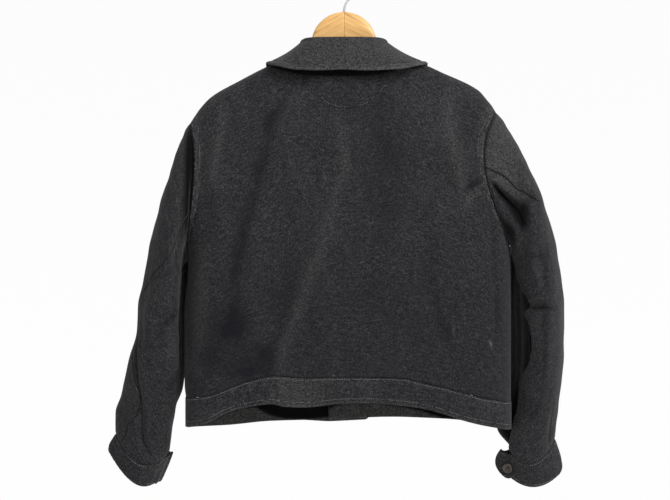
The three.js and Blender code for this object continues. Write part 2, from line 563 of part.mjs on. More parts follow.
// Cuffs: a doubled band that leaves the outer crease both ways and ends in the tab
const TAB_STEPS = [0.5, 1];
const shareAlong = (notches, d) => (d - notches[0]) / (notches[notches.length - 1] - notches[0]);
const lastDegrees = [
  ...topNotches.map((d) => mix(backSeam(LAST_RING), frontSeam(LAST_RING), shareAlong(topNotches, d))),
  ...underNotches.slice(1, -1).map((d) => (
    mix(frontSeam(LAST_RING) - 360, backSeam(LAST_RING), shareAlong(underNotches, d))
  )),
].map((d) => (d < -180 ? d + 360 : d)).filter((d) => Math.abs(d) < CUFF_OPEN).sort((a, b) => a - b);
const CUFF_COLUMNS = [
  ...TAB_STEPS.map((s) => -CUFF_OPEN - 30 * s).reverse(), -CUFF_OPEN,
  ...lastDegrees, CUFF_OPEN, ...TAB_STEPS.map((s) => CUFF_OPEN + 30 * s),
];

function cuffPoint(sideName, share, column) {
  const side = SIDES[sideName];
  const cuff = CUFFS[sideName];
  const rings = sideName === 'left' ? LEFT_RINGS : RIGHT_RINGS;
  const top = rings[rings.length - 1];
  const row = {};
  ['outX', 'outDrop', 'inX', 'inDrop', 'y', 'deep', 'sag'].forEach((key) => {
    row[key] = mix(top[key], cuff[key], share);
  });
  const deg = clamp(column, -CUFF_OPEN, CUFF_OPEN);
  const angle = degToRad(deg);
  const cos = Math.cos(angle);
  const sin = Math.sin(angle);
  const point = new THREE.Vector3(
    side.sign * mix(row.inX, row.outX, (1 + cos) / 2),
    row.y + row.deep * sin,
    -(mix(row.inDrop, row.outDrop, (1 + cos) / 2) + (sin < 0 ? row.sag * sin ** 2 : 0) 
      + 2 * SEAM_GAP * (1 - share) + (Math.abs(column) >= CUFF_OPEN ? 1 : 0)),
  );
  const past = (Math.abs(column) - CUFF_OPEN) / 30;
  if (past > 0) {
    const turn = degToRad(cuff.turn);
    const corner = cuff.round * (2 * share - 1) ** 2;
    const reach = (Math.abs(mix(row.inX, row.outX, (1 + cos) / 2) - row.inX) + cuff.tab - corner) * past;
    const sagged = sin > 0 ? row.sag * sin ** 2 * past : 0;
    const layer = Math.sign(column) * (DOUBLED + 0.5);
    const flatY = row.y + layer;
    point.x -= side.sign * reach * Math.cos(turn);
    point.y = mix(point.y, flatY, past) + reach * Math.sin(turn) * past;
    point.z += TAB_LIFT * past ** 3 - SEAM_GAP - sagged;
  }
  return point;
}

const cuffEdges = (inward, { i }) => {
  if (i === 0) inward.z = 0;
};

['left', 'right'].forEach((sideName) => {
  const { sign } = SIDES[sideName];
  place(`cuff_${sideName}`, clothWall(
    (share, column) => cuffPoint(sideName, share, column),
    CUFF_ROWS, CUFF_COLUMNS, DOUBLED, sign, cuffEdges,
  ), finish(FLANNEL, 0.95));
});

// Collar: one doubled leaf that stands on the neck edge, folds over and falls outside
function collarFrame(deg) {
  const half = Math.abs(deg);
  const sign = deg < 0 ? -1 : 1;
  const spread = sign < 0 ? 0.98 : 1.05;
  const get = (key) => between(COLLAR, 'deg', half, key);
  const angle = degToRad(half);
  const back = half <= 90;
  const column = sign * NECK_SHARE * Math.sin(angle);
  const neckDrop = topDrop(column, back ? -1 : 1);
  const footGap = SEAM_GAP + (back ? 0.5 : 1 + 3 * Math.cos(angle) ** 2);
  const neckX = column * sideOf(column).tip;
  const neckY = (back ? -NECK_BACK : NECK_FRONT) * Math.abs(Math.cos(angle));
  return {
    neck: new THREE.Vector3(neckX, neckY, -neckDrop + footGap),
    fold: new THREE.Vector3(sign * get('foldX'), get('foldY'), -get('foldDrop')),
    edge: new THREE.Vector3(sign * get('edgeX') * spread, get('edgeY'), -get('edgeDrop')),
  };
}

const COLLAR_DEGREES = [-172, -157.5, -135, -112.5, -90, -67.5, -45, -22.5, 0, 22.5, 45, 67.5, 90, 112.5, 135, 157.5, 172];
const COLLAR_PATH = Array.from({ length: 7 + FALL_STEPS.length }, (_, k) => k);

function collarPoint(step, deg) {
  const { neck, fold, edge } = collarFrame(deg);
  const out = new THREE.Vector3(edge.x - fold.x, edge.y - fold.y, 0).normalize();
  const foot = neck.clone().addScaledVector(out, -COLLAR_WALL + 0.6);
  const bend = (turn) => fold.clone()
    .addScaledVector(out, -FOLD_RADIUS * Math.cos(turn))
    .add(new THREE.Vector3(0, 0, -FOLD_RADIUS * (1 - Math.sin(turn))));
  const path = [
    foot, foot.clone().lerp(bend(0), 0.5), bend(0), bend(Math.PI / 4), bend(Math.PI / 2),
    bend((3 * Math.PI) / 4), bend(Math.PI),
    ...FALL_STEPS.map((share) => bend(Math.PI).lerp(edge, share)),
  ];
  const low = clamp(Math.floor(step), 0, path.length - 2);
  return path[low].clone().lerp(path[low + 1], step - low);
}

const levelFoot = (inward, { i }) => {
  if (i === 0) inward.z = 0;
};

place('collar', clothWall(
  collarPoint, COLLAR_PATH, COLLAR_DEGREES, COLLAR_WALL, 1, levelFoot,
), finish(FLANNEL, 0.95));

// Buttons: a turned disc with a raised rim and a round well for the thread
function buttonGeometry() {
  const { radius, thick, rim, well } = BUTTON;
  const profile = [
    [0, 0], [radius * 0.8, 0], [radius, thick * 0.45], [radius - 0.4, thick], [radius - rim - 0.6, thick],
    [well, thick - rim], [0, thick - rim],
  ].map(([r, h]) => new THREE.Vector2(r, h));
  return new THREE.LatheGeometry(profile, 14);
}

function buttonAt(name, point, outward) {
  const button = place(name, buttonGeometry(), finish(HORN, 0.45));
  button.quaternion.setFromUnitVectors(new THREE.Vector3(0, 1, 0), outward.clone().normalize());
  button.position.copy(point);
}

function normalAt(surface, row, column, size) {
  const step = 0.02;
  const down = surface(row + step, column).sub(surface(row - step, column));
  const across = surface(row, column + step * size).sub(surface(row, column - step * size));
  return new THREE.Vector3().crossVectors(across, down).normalize();
}

// The front buttons stand on the overlap's column, the last one on the band
const OVERLAP_SHARE = 0.2;
const BAND_LIFT = BAND_PROUD + 2;

FRONT_BUTTONS.forEach(({ drop, gap, onBand }, k) => {
  const top = -frontPoint(0, OVERLAP_SHARE, 'left').z;
  const bottom = -frontPoint(1, OVERLAP_SHARE, 'left').z;
  const level = Math.min((drop - top) / (bottom - top), 1);
  const face = frontPoint(level, OVERLAP_SHARE, 'left').y + gap + (onBand ? BAND_LIFT : 0);
  buttonAt(`front_button_${k + 1}`, new THREE.Vector3(BUTTON_COLUMN, face, -drop), new THREE.Vector3(0, 1, 0));
});

['left', 'right'].forEach((sideName) => {
  const { buttonShare, buttonDeg } = CUFFS[sideName];
  const surface = (share, column) => cuffPoint(sideName, share, column);
  const outward = normalAt(surface, buttonShare, buttonDeg, 300);
  if (sideName === 'right') outward.negate();
  const seat = surface(buttonShare, buttonDeg);
  buttonAt(`cuff_button_${sideName}`, seat.addScaledVector(outward, CUFF_BUTTON_GAP), outward);
});

// Hanger: two bent arms that meet at the centre in a round head
const HEAD_STATIONS = [0.15, 14, 27, 38, 46, 51, 53.5, 60];
const HANGER_SECTION = 14;

// The cloth's ridge runs straight from column to column, and the wood follows it
function ridgeDrop(side, x) {
  const rows = [NECK_SHARE, ...SIDE_COLUMNS].map((c) => (
    { x: c * side.tip, drop: between(side.shoulder, 'x', c * side.tip, 'drop') }
  ));
  return between(rows, 'x', x, 'drop');
}

function hangerRing(side, x) {
  const shoulder = ridgeDrop(side, x) - Math.max(0, 73.5 - x) * 0.42 + WOOD_SINK + (x < 80 ? 1 : 0);
  const inHead = x <= 51.5;
  const head = HANGER.headDrop - Math.sqrt(Math.max(0, HANGER.head ** 2 - x ** 2));
  const endShare = clamp((x - 186) / (HANGER.reach - 186), 0, 1);
  const round = Math.sqrt(Math.max(0.02, 1 - endShare ** 2));
  const topEdge = inHead ? head : shoulder;
  const height = mix(46, 30, x / HANGER.reach);
  const low = shoulder + height * (inHead ? 1.05 : 1);
  const middle = (topEdge + low) / 2;
  const half = ((low - topEdge) / 2) * (x > 186 ? mix(1, round, 0.85) : 1);
  const wall = hangerWall(x) * mix(1, round, 0.8);
  const shift = topEdge + half;
  const centre = x > 186 ? shift + (1 - round) * 1.5 : middle;
  return Array.from({ length: HANGER_SECTION }, (_, k) => {
    const angle = (2 * Math.PI * k) / HANGER_SECTION;
    const cos = Math.cos(angle);
    const sin = Math.sin(angle);
    return new THREE.Vector3(side.sign * x, sin * wall, -centre + cos * half);
  });
}

function loft(ringsOfPoints, flip) {
  const count = ringsOfPoints[0].length;
  const points = ringsOfPoints.flat();
  const faces = [];
  const triangle = (a, b, c) => (flip ? faces.push(a, c, b) : faces.push(a, b, c));
  for (let i = 0; i < ringsOfPoints.length - 1; i += 1) {
    for (let j = 0; j < count; j += 1) {
      const next = (j + 1) % count;
      const [a, b, c, d] = [i * count + j, (i + 1) * count + j, (i + 1) * count + next, i * count + next];
      triangle(a, b, c);
      triangle(a, c, d);
    }
  }
  const last = (ringsOfPoints.length - 1) * count;
  for (let j = 1; j < count - 1; j += 1) {
    triangle(0, j, j + 1);
    triangle(last, last + j + 1, last + j);
  }
  const geometry = new THREE.BufferGeometry();
  geometry.setAttribute('position', new THREE.Float32BufferAttribute(points.flatMap((p) => [p.x, p.y, p.z]), 3));
  geometry.setIndex(faces);
  return geometry;
}

['left', 'right'].forEach((sideName) => {
  const side = SIDES[sideName];
  const armStations = [NECK_SHARE, ...SIDE_COLUMNS].map((c) => c * side.tip).filter((x) => x < HANGER.reach - 12);
  const stations = [...HEAD_STATIONS, ...armStations, HANGER.reach - 5, HANGER.reach];
  const ringsOfPoints = stations.map((x) => hangerRing(side, x));
  place(`hanger_arm_${sideName}`, loft(ringsOfPoints, side.sign < 0), finish(HONEY_WOOD, 0.5));
});

// Hook: a bent wire from the head up over the rail
class HookPath extends THREE.Curve {
  getPoint(t, target = new THREE.Vector3()) {
    const radius = HOOK.inside + HOOK.wire / 2;
    const centre = -HOOK.inside;
    const start = degToRad(-52);
    const end = degToRad(200);
    const shank = 0.28;
    if (t >= shank) {
      const angle = mix(start, end, (t - shank) / (1 - shank));
      return target.set(radius * Math.cos(angle), 0, centre + radius * Math.sin(angle));
    }
    const foot = new THREE.Vector3(0, 0, -HANGER.headDrop + HANGER.head + SEAM_GAP);
    const joinPoint = new THREE.Vector3(radius * Math.cos(start), 0, centre + radius * Math.sin(start));
    const lift = new THREE.Vector3(0, 0, foot.z + 12);
    const lead = joinPoint.clone().add(new THREE.Vector3(Math.sin(start), 0, -Math.cos(start)).multiplyScalar(9));
    const bezier = new THREE.CubicBezierCurve3(foot, lift, lead, joinPoint);
    return bezier.getPoint(t / shank, target);
  }
}

const wireSection = new THREE.Shape();
wireSection.absarc(0, 0, HOOK.wire / 2, 0, Math.PI * 2, false);
place('hanger_hook', new THREE.ExtrudeGeometry(wireSection, {
  extrudePath: new HookPath(), steps: 30, curveSegments: 4, bevelEnabled: false,
}), finish(STEEL, 0.3, 1));

export default garment;
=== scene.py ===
# Short flannel jacket hanging on a wide wooden hanger, seen from behind.
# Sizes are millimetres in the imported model's frame: the origin is the inside top of the hook,
# +Z is up, the jacket's back faces -Y, and a drop is a distance below the origin.
import math

import bpy
import numpy as np
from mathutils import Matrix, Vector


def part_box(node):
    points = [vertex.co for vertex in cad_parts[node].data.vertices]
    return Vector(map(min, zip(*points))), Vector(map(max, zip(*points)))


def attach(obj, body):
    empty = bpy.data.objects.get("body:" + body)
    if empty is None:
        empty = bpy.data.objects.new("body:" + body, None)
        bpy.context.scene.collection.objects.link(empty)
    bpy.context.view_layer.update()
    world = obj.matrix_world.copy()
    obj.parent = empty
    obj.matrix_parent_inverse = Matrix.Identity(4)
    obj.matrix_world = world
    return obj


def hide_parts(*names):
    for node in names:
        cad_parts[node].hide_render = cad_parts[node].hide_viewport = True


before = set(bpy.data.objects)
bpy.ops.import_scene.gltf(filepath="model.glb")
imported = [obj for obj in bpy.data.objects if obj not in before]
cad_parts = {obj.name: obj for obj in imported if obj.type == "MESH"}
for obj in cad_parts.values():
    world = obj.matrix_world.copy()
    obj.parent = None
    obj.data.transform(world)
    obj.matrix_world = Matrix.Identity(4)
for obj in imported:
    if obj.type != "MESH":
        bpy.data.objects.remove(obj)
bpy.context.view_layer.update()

# Studio. The camera stands square to the jacket's back, far off with a long lens, so that one
# pixel of a 670 x 500 picture is 1.6 mm of cloth. A white sky, a wide soft light above the
# camera's right and a round pale floor well below the hem.
MM = 0.001
PIXEL = 1.6
FRAME_WIDTH = 670 * PIXEL
VIEW_X, VIEW_DROP = -14.4, 442.8
CAMERA_BACK = 6000
SENSOR = 36
SKY_ZENITH, SKY_LEVEL, SKY_BELOW = 1.3, 0.98, 0.36
LIGHT = {"x": 2000, "y": -2500, "z": 1500, "size": 1300, "watts": 170}
FLOOR_DROP, FLOOR_RADIUS = 1350, 4500

camera = bpy.data.objects.new("camera", bpy.data.cameras.new("camera"))
camera.data.sensor_width = SENSOR
camera.data.lens = SENSOR * CAMERA_BACK / FRAME_WIDTH
camera.data.clip_end = 60
camera.location = (VIEW_X * MM, -CAMERA_BACK * MM, -VIEW_DROP * MM)
camera.rotation_euler = (math.pi / 2, 0, 0)
bpy.context.scene.collection.objects.link(camera)
bpy.context.scene.camera = camera
bpy.context.scene.view_settings.view_transform = "Standard"

sky = bpy.data.worlds.new("white_sky")
sky.use_nodes = True
bpy.context.scene.world = sky
sky_nodes, sky_links = sky.node_tree.nodes, sky.node_tree.links
direction = sky_nodes.new("ShaderNodeTexCoord")
height = sky_nodes.new("ShaderNodeSeparateXYZ")
lightness = sky_nodes.new("ShaderNodeFloatCurve")
sky_links.new(direction.outputs["Generated"], height.inputs[0])
level_to_curve = sky_nodes.new("ShaderNodeMapRange")
level_to_curve.inputs["From Min"].default_value = -1
sky_links.new(height.outputs["Z"], level_to_curve.inputs["Value"])
sky_links.new(level_to_curve.outputs["Result"], lightness.inputs["Value"])
curve = lightness.mapping.curves[0]
curve.points[0].location = (0, SKY_BELOW / 2)
curve.points[1].location = (1, SKY_ZENITH / 2)
curve.points.new(0.44, SKY_LEVEL / 2)
curve.points.new(0.56, SKY_LEVEL / 2)
lightness.mapping.update()
doubled = sky_nodes.new("ShaderNodeMath")
doubled.operation = "MULTIPLY"
doubled.inputs[1].default_value = 2
sky_links.new(lightness.outputs[0], doubled.inputs[0])
sky_links.new(doubled.outputs[0], sky_nodes["Background"].inputs["Strength"])
sky_nodes["Background"].inputs["Color"].default_value = (1, 1, 1, 1)

softbox = bpy.data.objects.new("softbox", bpy.data.lights.new("softbox", "AREA"))
softbox.data.size = LIGHT["size"] * MM
softbox.data.energy = LIGHT["watts"]
softbox.location = (LIGHT["x"] * MM, LIGHT["y"] * MM, LIGHT["z"] * MM)
aim = softbox.location.copy()
aim.z += VIEW_DROP * MM
softbox.rotation_euler = aim.to_track_quat("Z", "Y").to_euler()
bpy.context.scene.collection.objects.link(softbox)

bpy.ops.mesh.primitive_circle_add(
    vertices=96, radius=FLOOR_RADIUS * MM, fill_type="NGON", location=(0, 0, -FLOOR_DROP * MM)
)
floor = bpy.context.object
floor.name = "floor"
pale = bpy.data.materials.new("pale_floor")
pale.use_nodes = True
pale.node_tree.nodes["Principled BSDF"].inputs["Base Color"].default_value = (0.86, 0.86, 0.85, 1)
pale.node_tree.nodes["Principled BSDF"].inputs["Roughness"].default_value = 0.9
floor.data.materials.append(pale)

# Hanger: two boards of pale lacquered wood that meet in a round head, each following its
# shoulder's slope down to a thick rounded end. The grain runs along each board, so it meets in
# a chevron at the glued joint.
LEFT = {
    "sign": -1, "tip": 245.6, "tip_drop": 239.6, "under": 252.5, "seam_drop": 678,
    "scoop_back": 10, "scoop_front": 20,
    "shoulder_x": [73.5, 126, 164.8, 211.8, 230, 238.4, 245.6],
    "shoulder_drop": [128, 151, 171, 197.7, 216.5, 228.5, 239.6],
    "seam_at": [432, 456, 481, 545, 659, 678, 724],
    "seam_x": [252.5, 250, 250.5, 256, 255, 253, 249.5],
}
RIGHT = {
    "sign": 1, "tip": 243, "tip_drop": 223, "under": 264, "seam_drop": 684,
    "scoop_back": 29, "scoop_front": 34,
    "shoulder_x": [73.5, 136, 153.6, 214.4, 229, 237, 243],
    "shoulder_drop": [127, 149, 157.2, 186.8, 203, 213, 223],
    "seam_at": [425, 443, 480, 659, 728],
    "seam_x": [264, 266, 267.5, 267.2, 267.2],
}
SIDES = {"left": LEFT, "right": RIGHT}
HEAD_RADIUS, HEAD_DROP, HEAD_WALL = 52.5, 114.5, 9
ARM_END_WALL, ARM_REACH, ARM_TAPER_FROM = 17.5, 212, 186
WOOD_SINK, NECK_X = 3.4, 73.5
JOINT_GAP, JOINT_BEVEL = 0.03, 0.4
HEAD_EDGE = 51.5
WOOD_PALE, WOOD_HONEY, WOOD_DARK = (192, 154, 98), (177, 137, 80), (134, 95, 50)
WOOD_SLOPE = 26


def linear(colour):
    """A colour written as 0-255 screen values, as the shader wants it."""
    share = np.array(colour) / 255
    return (*np.where(share > 0.04045, ((share + 0.055) / 1.055) ** 2.4, share / 12.92), 1)


def through(xs, ys, at):
    """A smooth line through a table's points, level beyond its ends, with no overshoot."""
    xs, ys, at = np.asarray(xs, float), np.asarray(ys, float), np.asarray(at, float)
    run = np.diff(xs)
    slope = np.diff(ys) / run
    together = slope[1:] * slope[:-1] > 0
    total = np.where(together, slope[1:] + slope[:-1], 1)
    tangent = np.zeros_like(ys)
    tangent[1:-1] = np.where(together, 2 * slope[1:] * slope[:-1] / total, 0)
    tangent[0], tangent[-1] = slope[0], slope[-1]
    k = np.clip(np.searchsorted(xs, at) - 1, 0, len(xs) - 2)
    t = np.clip((at - xs[k]) / run[k], 0, 1)
    rise = t * t * (3 - 2 * t)
    bend = run[k] * (t * (1 - t) ** 2 * tangent[k] - t * t * (1 - t) * tangent[k + 1])
    return ys[k] + (ys[k + 1] - ys[k]) * rise + bend


def mix(a, b, share):
    return a + (b - a) * share


def ease(share):
    """0 before 0, 1 after 1 and a smooth rise between."""
    share = np.clip(share, 0, 1)
    return share * share * (3 - 2 * share)


def start_finish(name, **constants):
    """A new material, its node tree and its shader, with the shader's plain values set."""
    finish = bpy.data.materials.new(name)
    finish.use_nodes = True
    shader = finish.node_tree.nodes["Principled BSDF"]
    for socket, value in constants.items():
        shader.inputs[socket.replace("_", " ")].default_value = value
    return finish, finish.node_tree, shader


def node(tree, kind, feeds=(), **settings):
    """Adds a node: feeds are (socket, source) pairs, settings are its values."""
    made = tree.nodes.new("ShaderNode" + kind)
    for key, value in settings.items():
        socket = key.replace("_", " ")
        if socket in made.inputs:
            made.inputs[socket].default_value = value
        else:
            setattr(made, key, value)
    for socket, source in feeds:
        tree.links.new(source, made.inputs[socket])
    return made


def ramp(tree, source, stops):
    """Turns a value into a colour: stops are (place, screen colour) pairs."""
    made = node(tree, "ValToRGB", [("Fac", source)])
    made.color_ramp.elements[0].position, first = stops[0]
    made.color_ramp.elements[0].color = linear(first)
    made.color_ramp.elements[1].position, last = stops[-1]
    made.color_ramp.elements[1].color = linear(last)
    for place, colour in stops[1:-1]:
        made.color_ramp.elements.new(place).color = linear(colour)
    return made.outputs["Color"]


def wood_finish(name, sign):
    finish, tree, shader = start_finish(
        name, Roughness=0.45, Coat_Weight=0.15, Coat_Roughness=0.3, Specular_IOR_Level=0.35
    )
    place = node(tree, "TexCoord").outputs["Object"]
    turned = node(
        tree, "Mapping", [("Vector", place)], Rotation=(0, -sign * math.radians(WOOD_SLOPE), 0)
    ).outputs["Vector"]
    along = node(tree, "Mapping", [("Vector", turned)], Scale=(9, 30, 210)).outputs["Vector"]
    rings = node(tree, "TexNoise", [("Vector", along)], Scale=1.0, Detail=5, Roughness=0.6)
    pores = node(tree, "TexNoise", [("Vector", along)], Scale=5.0, Detail=2, Roughness=0.5)
    pore_share = node(tree, "Math", [(0, pores.outputs["Fac"])], operation="MULTIPLY")
    pore_share.inputs[1].default_value = 0.22
    grain = node(
        tree, "Math", [(0, rings.outputs["Fac"]), (2, pore_share.outputs[0])], operation="MULTIPLY_ADD"
    )
    grain.inputs[1].default_value = 0.78
    stops = [(0.36, WOOD_DARK), (0.46, WOOD_HONEY), (0.54, WOOD_HONEY), (0.64, WOOD_PALE)]
    tree.links.new(ramp(tree, grain.outputs[0], stops), shader.inputs["Base Color"])
    relief = node(tree, "Bump", [("Height", grain.outputs[0])], Strength=0.12, Distance=0.0004)
    tree.links.new(relief.outputs["Normal"], shader.inputs["Normal"])
    return finish


def new_piece(name, points, faces, finish):
    """A smooth-shaded mesh from points in millimetres."""
    mesh = bpy.data.meshes.new(name)
    faces = faces.tolist() if isinstance(faces, np.ndarray) else faces
    mesh.from_pydata((np.asarray(points) * MM).tolist(), [], faces)
    mesh.polygons.foreach_set("use_smooth", [True] * len(mesh.polygons))
    mesh.materials.append(finish)
    piece = bpy.data.objects.new(name, mesh)
    bpy.context.scene.collection.objects.link(piece)
    return piece


def loft_faces(ring_count, around):
    """Quads between rings of points, open at both ends."""
    ring, k = np.meshgrid(np.arange(ring_count - 1), np.arange(around), indexing="ij")
    here, after = ring * around + k, ring * around + (k + 1) % around
    return np.stack([here, here + around, after + around, after], -1).reshape(-1, 4)


def cap_with(points, faces, around, flip):
    """Closes both ends of a lofted piece with a point at each end's middle."""
    first, last = points[:around].mean(0), points[-around:].mean(0)
    count = len(points)
    points = np.vstack([points, first, last])
    quads = [tuple(f) for f in faces]
    for k in range(around):
        after = (k + 1) % around
        quads.append((count, k, after))
        quads.append((count + 1, count - around + after, count - around + k))
    if flip:
        quads = [tuple(reversed(f)) for f in quads]
    return points, quads


def board_ring(side, x, around):
    shoulder = through(side["shoulder_x"], side["shoulder_drop"], x) - max(0, NECK_X - x) * 0.42
    shoulder += WOOD_SINK + (1 if x < 80 else 0)
    in_head = x <= HEAD_EDGE
    top = HEAD_DROP - math.sqrt(max(0, HEAD_RADIUS**2 - x**2)) if in_head else shoulder
    low = shoulder + mix(46, 30, x / ARM_REACH) * (1.05 if in_head else 1)
    taper = min(1, max(0, (x - ARM_TAPER_FROM) / (ARM_REACH - ARM_TAPER_FROM)))
    roundness = math.sqrt(max(0.02, 1 - taper**2))
    half = (low - top) / 2 * (mix(1, roundness, 0.85) if taper > 0 else 1)
    wall = mix(HEAD_WALL, ARM_END_WALL, x / ARM_REACH) * mix(1, roundness, 0.8)
    centre = top + half + (1 - roundness) * 1.5 if taper > 0 else (top + low) / 2
    bevel = 0.7 * max(0, 1 - (x - JOINT_GAP) / JOINT_BEVEL)
    square = 0.5 if in_head else 0.78
    turn = np.linspace(0, 2 * math.pi, around, endpoint=False)
    out = np.sign(np.sin(turn)) * np.abs(np.sin(turn)) ** square * (wall - bevel)
    up = np.sign(np.cos(turn)) * np.abs(np.cos(turn)) ** square * (half - bevel)
    return np.stack([np.full(around, side["sign"] * x), out, up - centre], -1)


AROUND_BOARD = 56
head_stations = HEAD_RADIUS * np.sin(np.linspace(0.045, 1.375, 26))
board_stations = [JOINT_GAP, 0.7, 1.5, *head_stations, *np.linspace(53.5, ARM_TAPER_FROM, 34)]
arm_end = ARM_REACH - ARM_TAPER_FROM
board_stations += list(ARM_TAPER_FROM + arm_end * np.sin(np.linspace(0.15, 1.57, 10)))
for side_name, side in SIDES.items():
    rings = np.vstack([board_ring(side, float(x), AROUND_BOARD) for x in board_stations])
    quads = loft_faces(len(board_stations), AROUND_BOARD)
    rings, quads = cap_with(rings, quads, AROUND_BOARD, side["sign"] < 0)
    wood = wood_finish(f"wood_{side_name}", side["sign"])
    board = new_piece(f"hanger_board_{side_name}", rings, quads, wood)
    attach(board, "root")
    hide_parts(f"hanger_arm_{side_name}")

# Hook: bright drawn steel wire, set into the top of the head and bent round over the rail, with
# its free end cut and rounded off.
HOOK_WIRE, HOOK_INSIDE = 4, 20
HOOK_BEND = (-52, 200)
steel, steel_tree, steel_shader = start_finish("drawn_steel", Metallic=1.0, Roughness=0.24)
drawn = node(
    steel_tree, "TexNoise",
    [("Vector", node(steel_tree, "TexCoord").outputs["Object"])], Scale=900, Detail=2,
)
steel_tree.links.new(
    ramp(steel_tree, drawn.outputs["Fac"], [(0.3, (176, 177, 180)), (0.7, (208, 209, 211))]),
    steel_shader.inputs["Base Color"],
)
bend_radius = HOOK_INSIDE + HOOK_WIRE / 2
bend_start, bend_end = (math.radians(a) for a in HOOK_BEND)
foot = np.array([0, 0, -HEAD_DROP + HEAD_RADIUS + 0.3])
joint = np.array([bend_radius * math.cos(bend_start), 0, -HOOK_INSIDE + bend_radius * math.sin(bend_start)])
lead = joint + 9 * np.array([math.sin(bend_start), 0, -math.cos(bend_start)])
lift = np.array([0, 0, foot[2] + 12])
wire = [
    foot * (1 - t) ** 3 + 3 * lift * t * (1 - t) ** 2 + 3 * lead * t * t * (1 - t) + joint * t**3
    for t in np.linspace(0, 1, 14)[:-1]
]
wire += [
    np.array([bend_radius * math.cos(a), 0, -HOOK_INSIDE + bend_radius * math.sin(a)])
    for a in np.linspace(bend_start, bend_end, 48)
]
wire = np.array(wire)
heading = np.gradient(wire, axis=0)
heading /= np.linalg.norm(heading, axis=1)[:, None]
sideways = np.cross(heading, [0, 1, 0])
AROUND_WIRE = 18
turn = np.linspace(0, 2 * math.pi, AROUND_WIRE, endpoint=False)
thickness = np.full(len(wire), HOOK_WIRE / 2)
thickness[-3:] = HOOK_WIRE / 2 * np.array([0.97, 0.8, 0.4])
rings = wire[:, None, :] + thickness[:, None, None] * (
    np.cos(turn)[None, :, None] * sideways[:, None, :] + np.sin(turn)[None, :, None] * np.array([0, 1, 0])
)
points, quads = cap_with(rings.reshape(-1, 3), loft_faces(len(wire), AROUND_WIRE), AROUND_WIRE, False)
hook = new_piece("hook_wire", points, quads, steel)
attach(hook, "root")
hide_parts("hanger_hook")

# Jacket back: one panel of thick brushed charcoal flannel from the shoulder seams to the hem
# band, with the armholes scooped at the sides. A half-moon is stitched on under the collar, and
# the armhole's seam allowance is topstitched to it in two rows that pucker the cloth.
CLOTH = 2.2
SEAM_GAP = 0.3
NECK_SHARE, NECK_BACK, NECK_FRONT = 0.3, 32, 46
NECK_DIP_BACK, NECK_DIP_FRONT = 7, 66
UNDERARM, ARMHOLE_DEPTH = 0.44, 58
SHOULDER_EASE, WOOD_EASE = 130, 6
BAND_HEIGHT = 42
BACK_LENGTH, FRONT_LENGTH = 520, 480
ARMHOLE_PUCKER, BAND_PUCKER = 9.5, 12
BAND_SEAM_BACK = {
    "x": [-253, -212, -178, -150, -114, -64, 0, 90, 120, 165, 216, 267],
    "drop": [678, 670.5, 658, 649, 642.6, 646, 644.7, 646, 652.5, 661.5, 673.8, 684],
}
HEM_FRONT = {
    "x": [-250, -193, -118, -24, 77, 155, 196, 267],
    "drop": [725, 723.5, 717, 714.5, 710.5, 713, 716, 729],
}
DEPTHS = {
    "drop": [130, 200, 290, 400, 520, 640, 730],
    "back": [34, 45, 58, 61, 58, 55, 56],
    "front": [44, 52, 62, 65, 64, 62, 61],
}
# Folds as rows of x, drop, to x, to drop, width and rise
FOLDS_BACK = [
    (-100, 400, -80, 640, 44, -7),
    (-150, 520, -130, 650, 34, 5),
    (-20, 430, -25, 640, 55, 4),
    (120, 430, 135, 650, 46, -4),
    (232, 330, 180, 350, 16, -4),
    (215, 400, 225, 640, 30, 4),
    (-215, 330, -215, 600, 28, 4),
]
FOLDS_FRONT = [
    (-110, 420, -120, 650, 46, -6),
    (118, 410, 140, 650, 46, -6),
    (175, 460, 180, 640, 36, 4),
    (-190, 380, -180, 640, 36, 4),
]
CREASES_BACK = [
    (-230, 366, -246, 430, 5, -3),
    (-238, 372, -252, 430, 5, 2),
    (-220, 345, -208, 415, 10, -2.4),
    (216, 330, 191, 349, 5, -3.4),
    (220, 341, 200, 360, 5, 2.8),
    (10, 470, 90, 570, 46, -2.0),
    (148, 555, 170, 606, 11, -1.6),
    (-165, 470, -150, 540, 14, 1.0),
    (-255, 600, -225, 655, 9, 1.8),
    (-190, 620, -165, 640, 14, 0.7),
]
# Long soft folds that hang from the shoulders: drops, x at those drops, half widths and rises
LONG_FOLDS = [
    ((200, 235, 275, 323, 406, 508, 603, 650), (-92, -117, -128, -139, -161, -181, -195, -202),
     (9, 12, 13, 13, 13, 18, 30, 34), (-2.4, -4.8, -5.4, -5.4, -5.2, -4.4, -3.2, -2.4)),
    ((451, 507, 555, 595, 640), (-86, -95, -111, -130, -145),
     (12, 15, 18, 24, 26), (-2, -3.2, -3.2, -2.8, -2)),
    ((219, 267, 310, 363, 427, 475, 523, 563, 603, 650),
     (-10, -3, 0, -17, -30, -55, -68, -85, -100, -102),
     (12, 11, 10, 10, 11, 12, 12, 12, 12, 12), (1.2, 1.6, 2.2, 1.8, 1.8, 2.0, 2.0, 2.2, 2.6, 2.4)),
    ((200, 283, 363, 450), (48, 62, 60, 42), (26, 34, 36, 30), (-3, -3.6, -3.2, -2)),
    ((427, 491, 555, 605), (138, 131, 146, 164), (13, 14, 14, 12), (-2.4, -3, -3.2, -2)),
    ((365, 443, 523, 590), (232, 238, 241, 243), (6, 6, 6, 6), (-2.4, -3.4, -3.6, -3)),
    ((200, 260, 320, 380), (160, 168, 182, 196), (11, 12, 11, 11), (2.4, 2.8, 2.4, 1.6)),
    ((215, 260, 310, 350), (-190, -197, -206, -210), (7, 7, 7, 7), (2, 2.6, 2.2, 1.4)),
    ((430, 500, 570, 640), (-226, -228, -230, -233), (12, 12, 12, 12), (1.5, 2, 2, 1.5)),
]
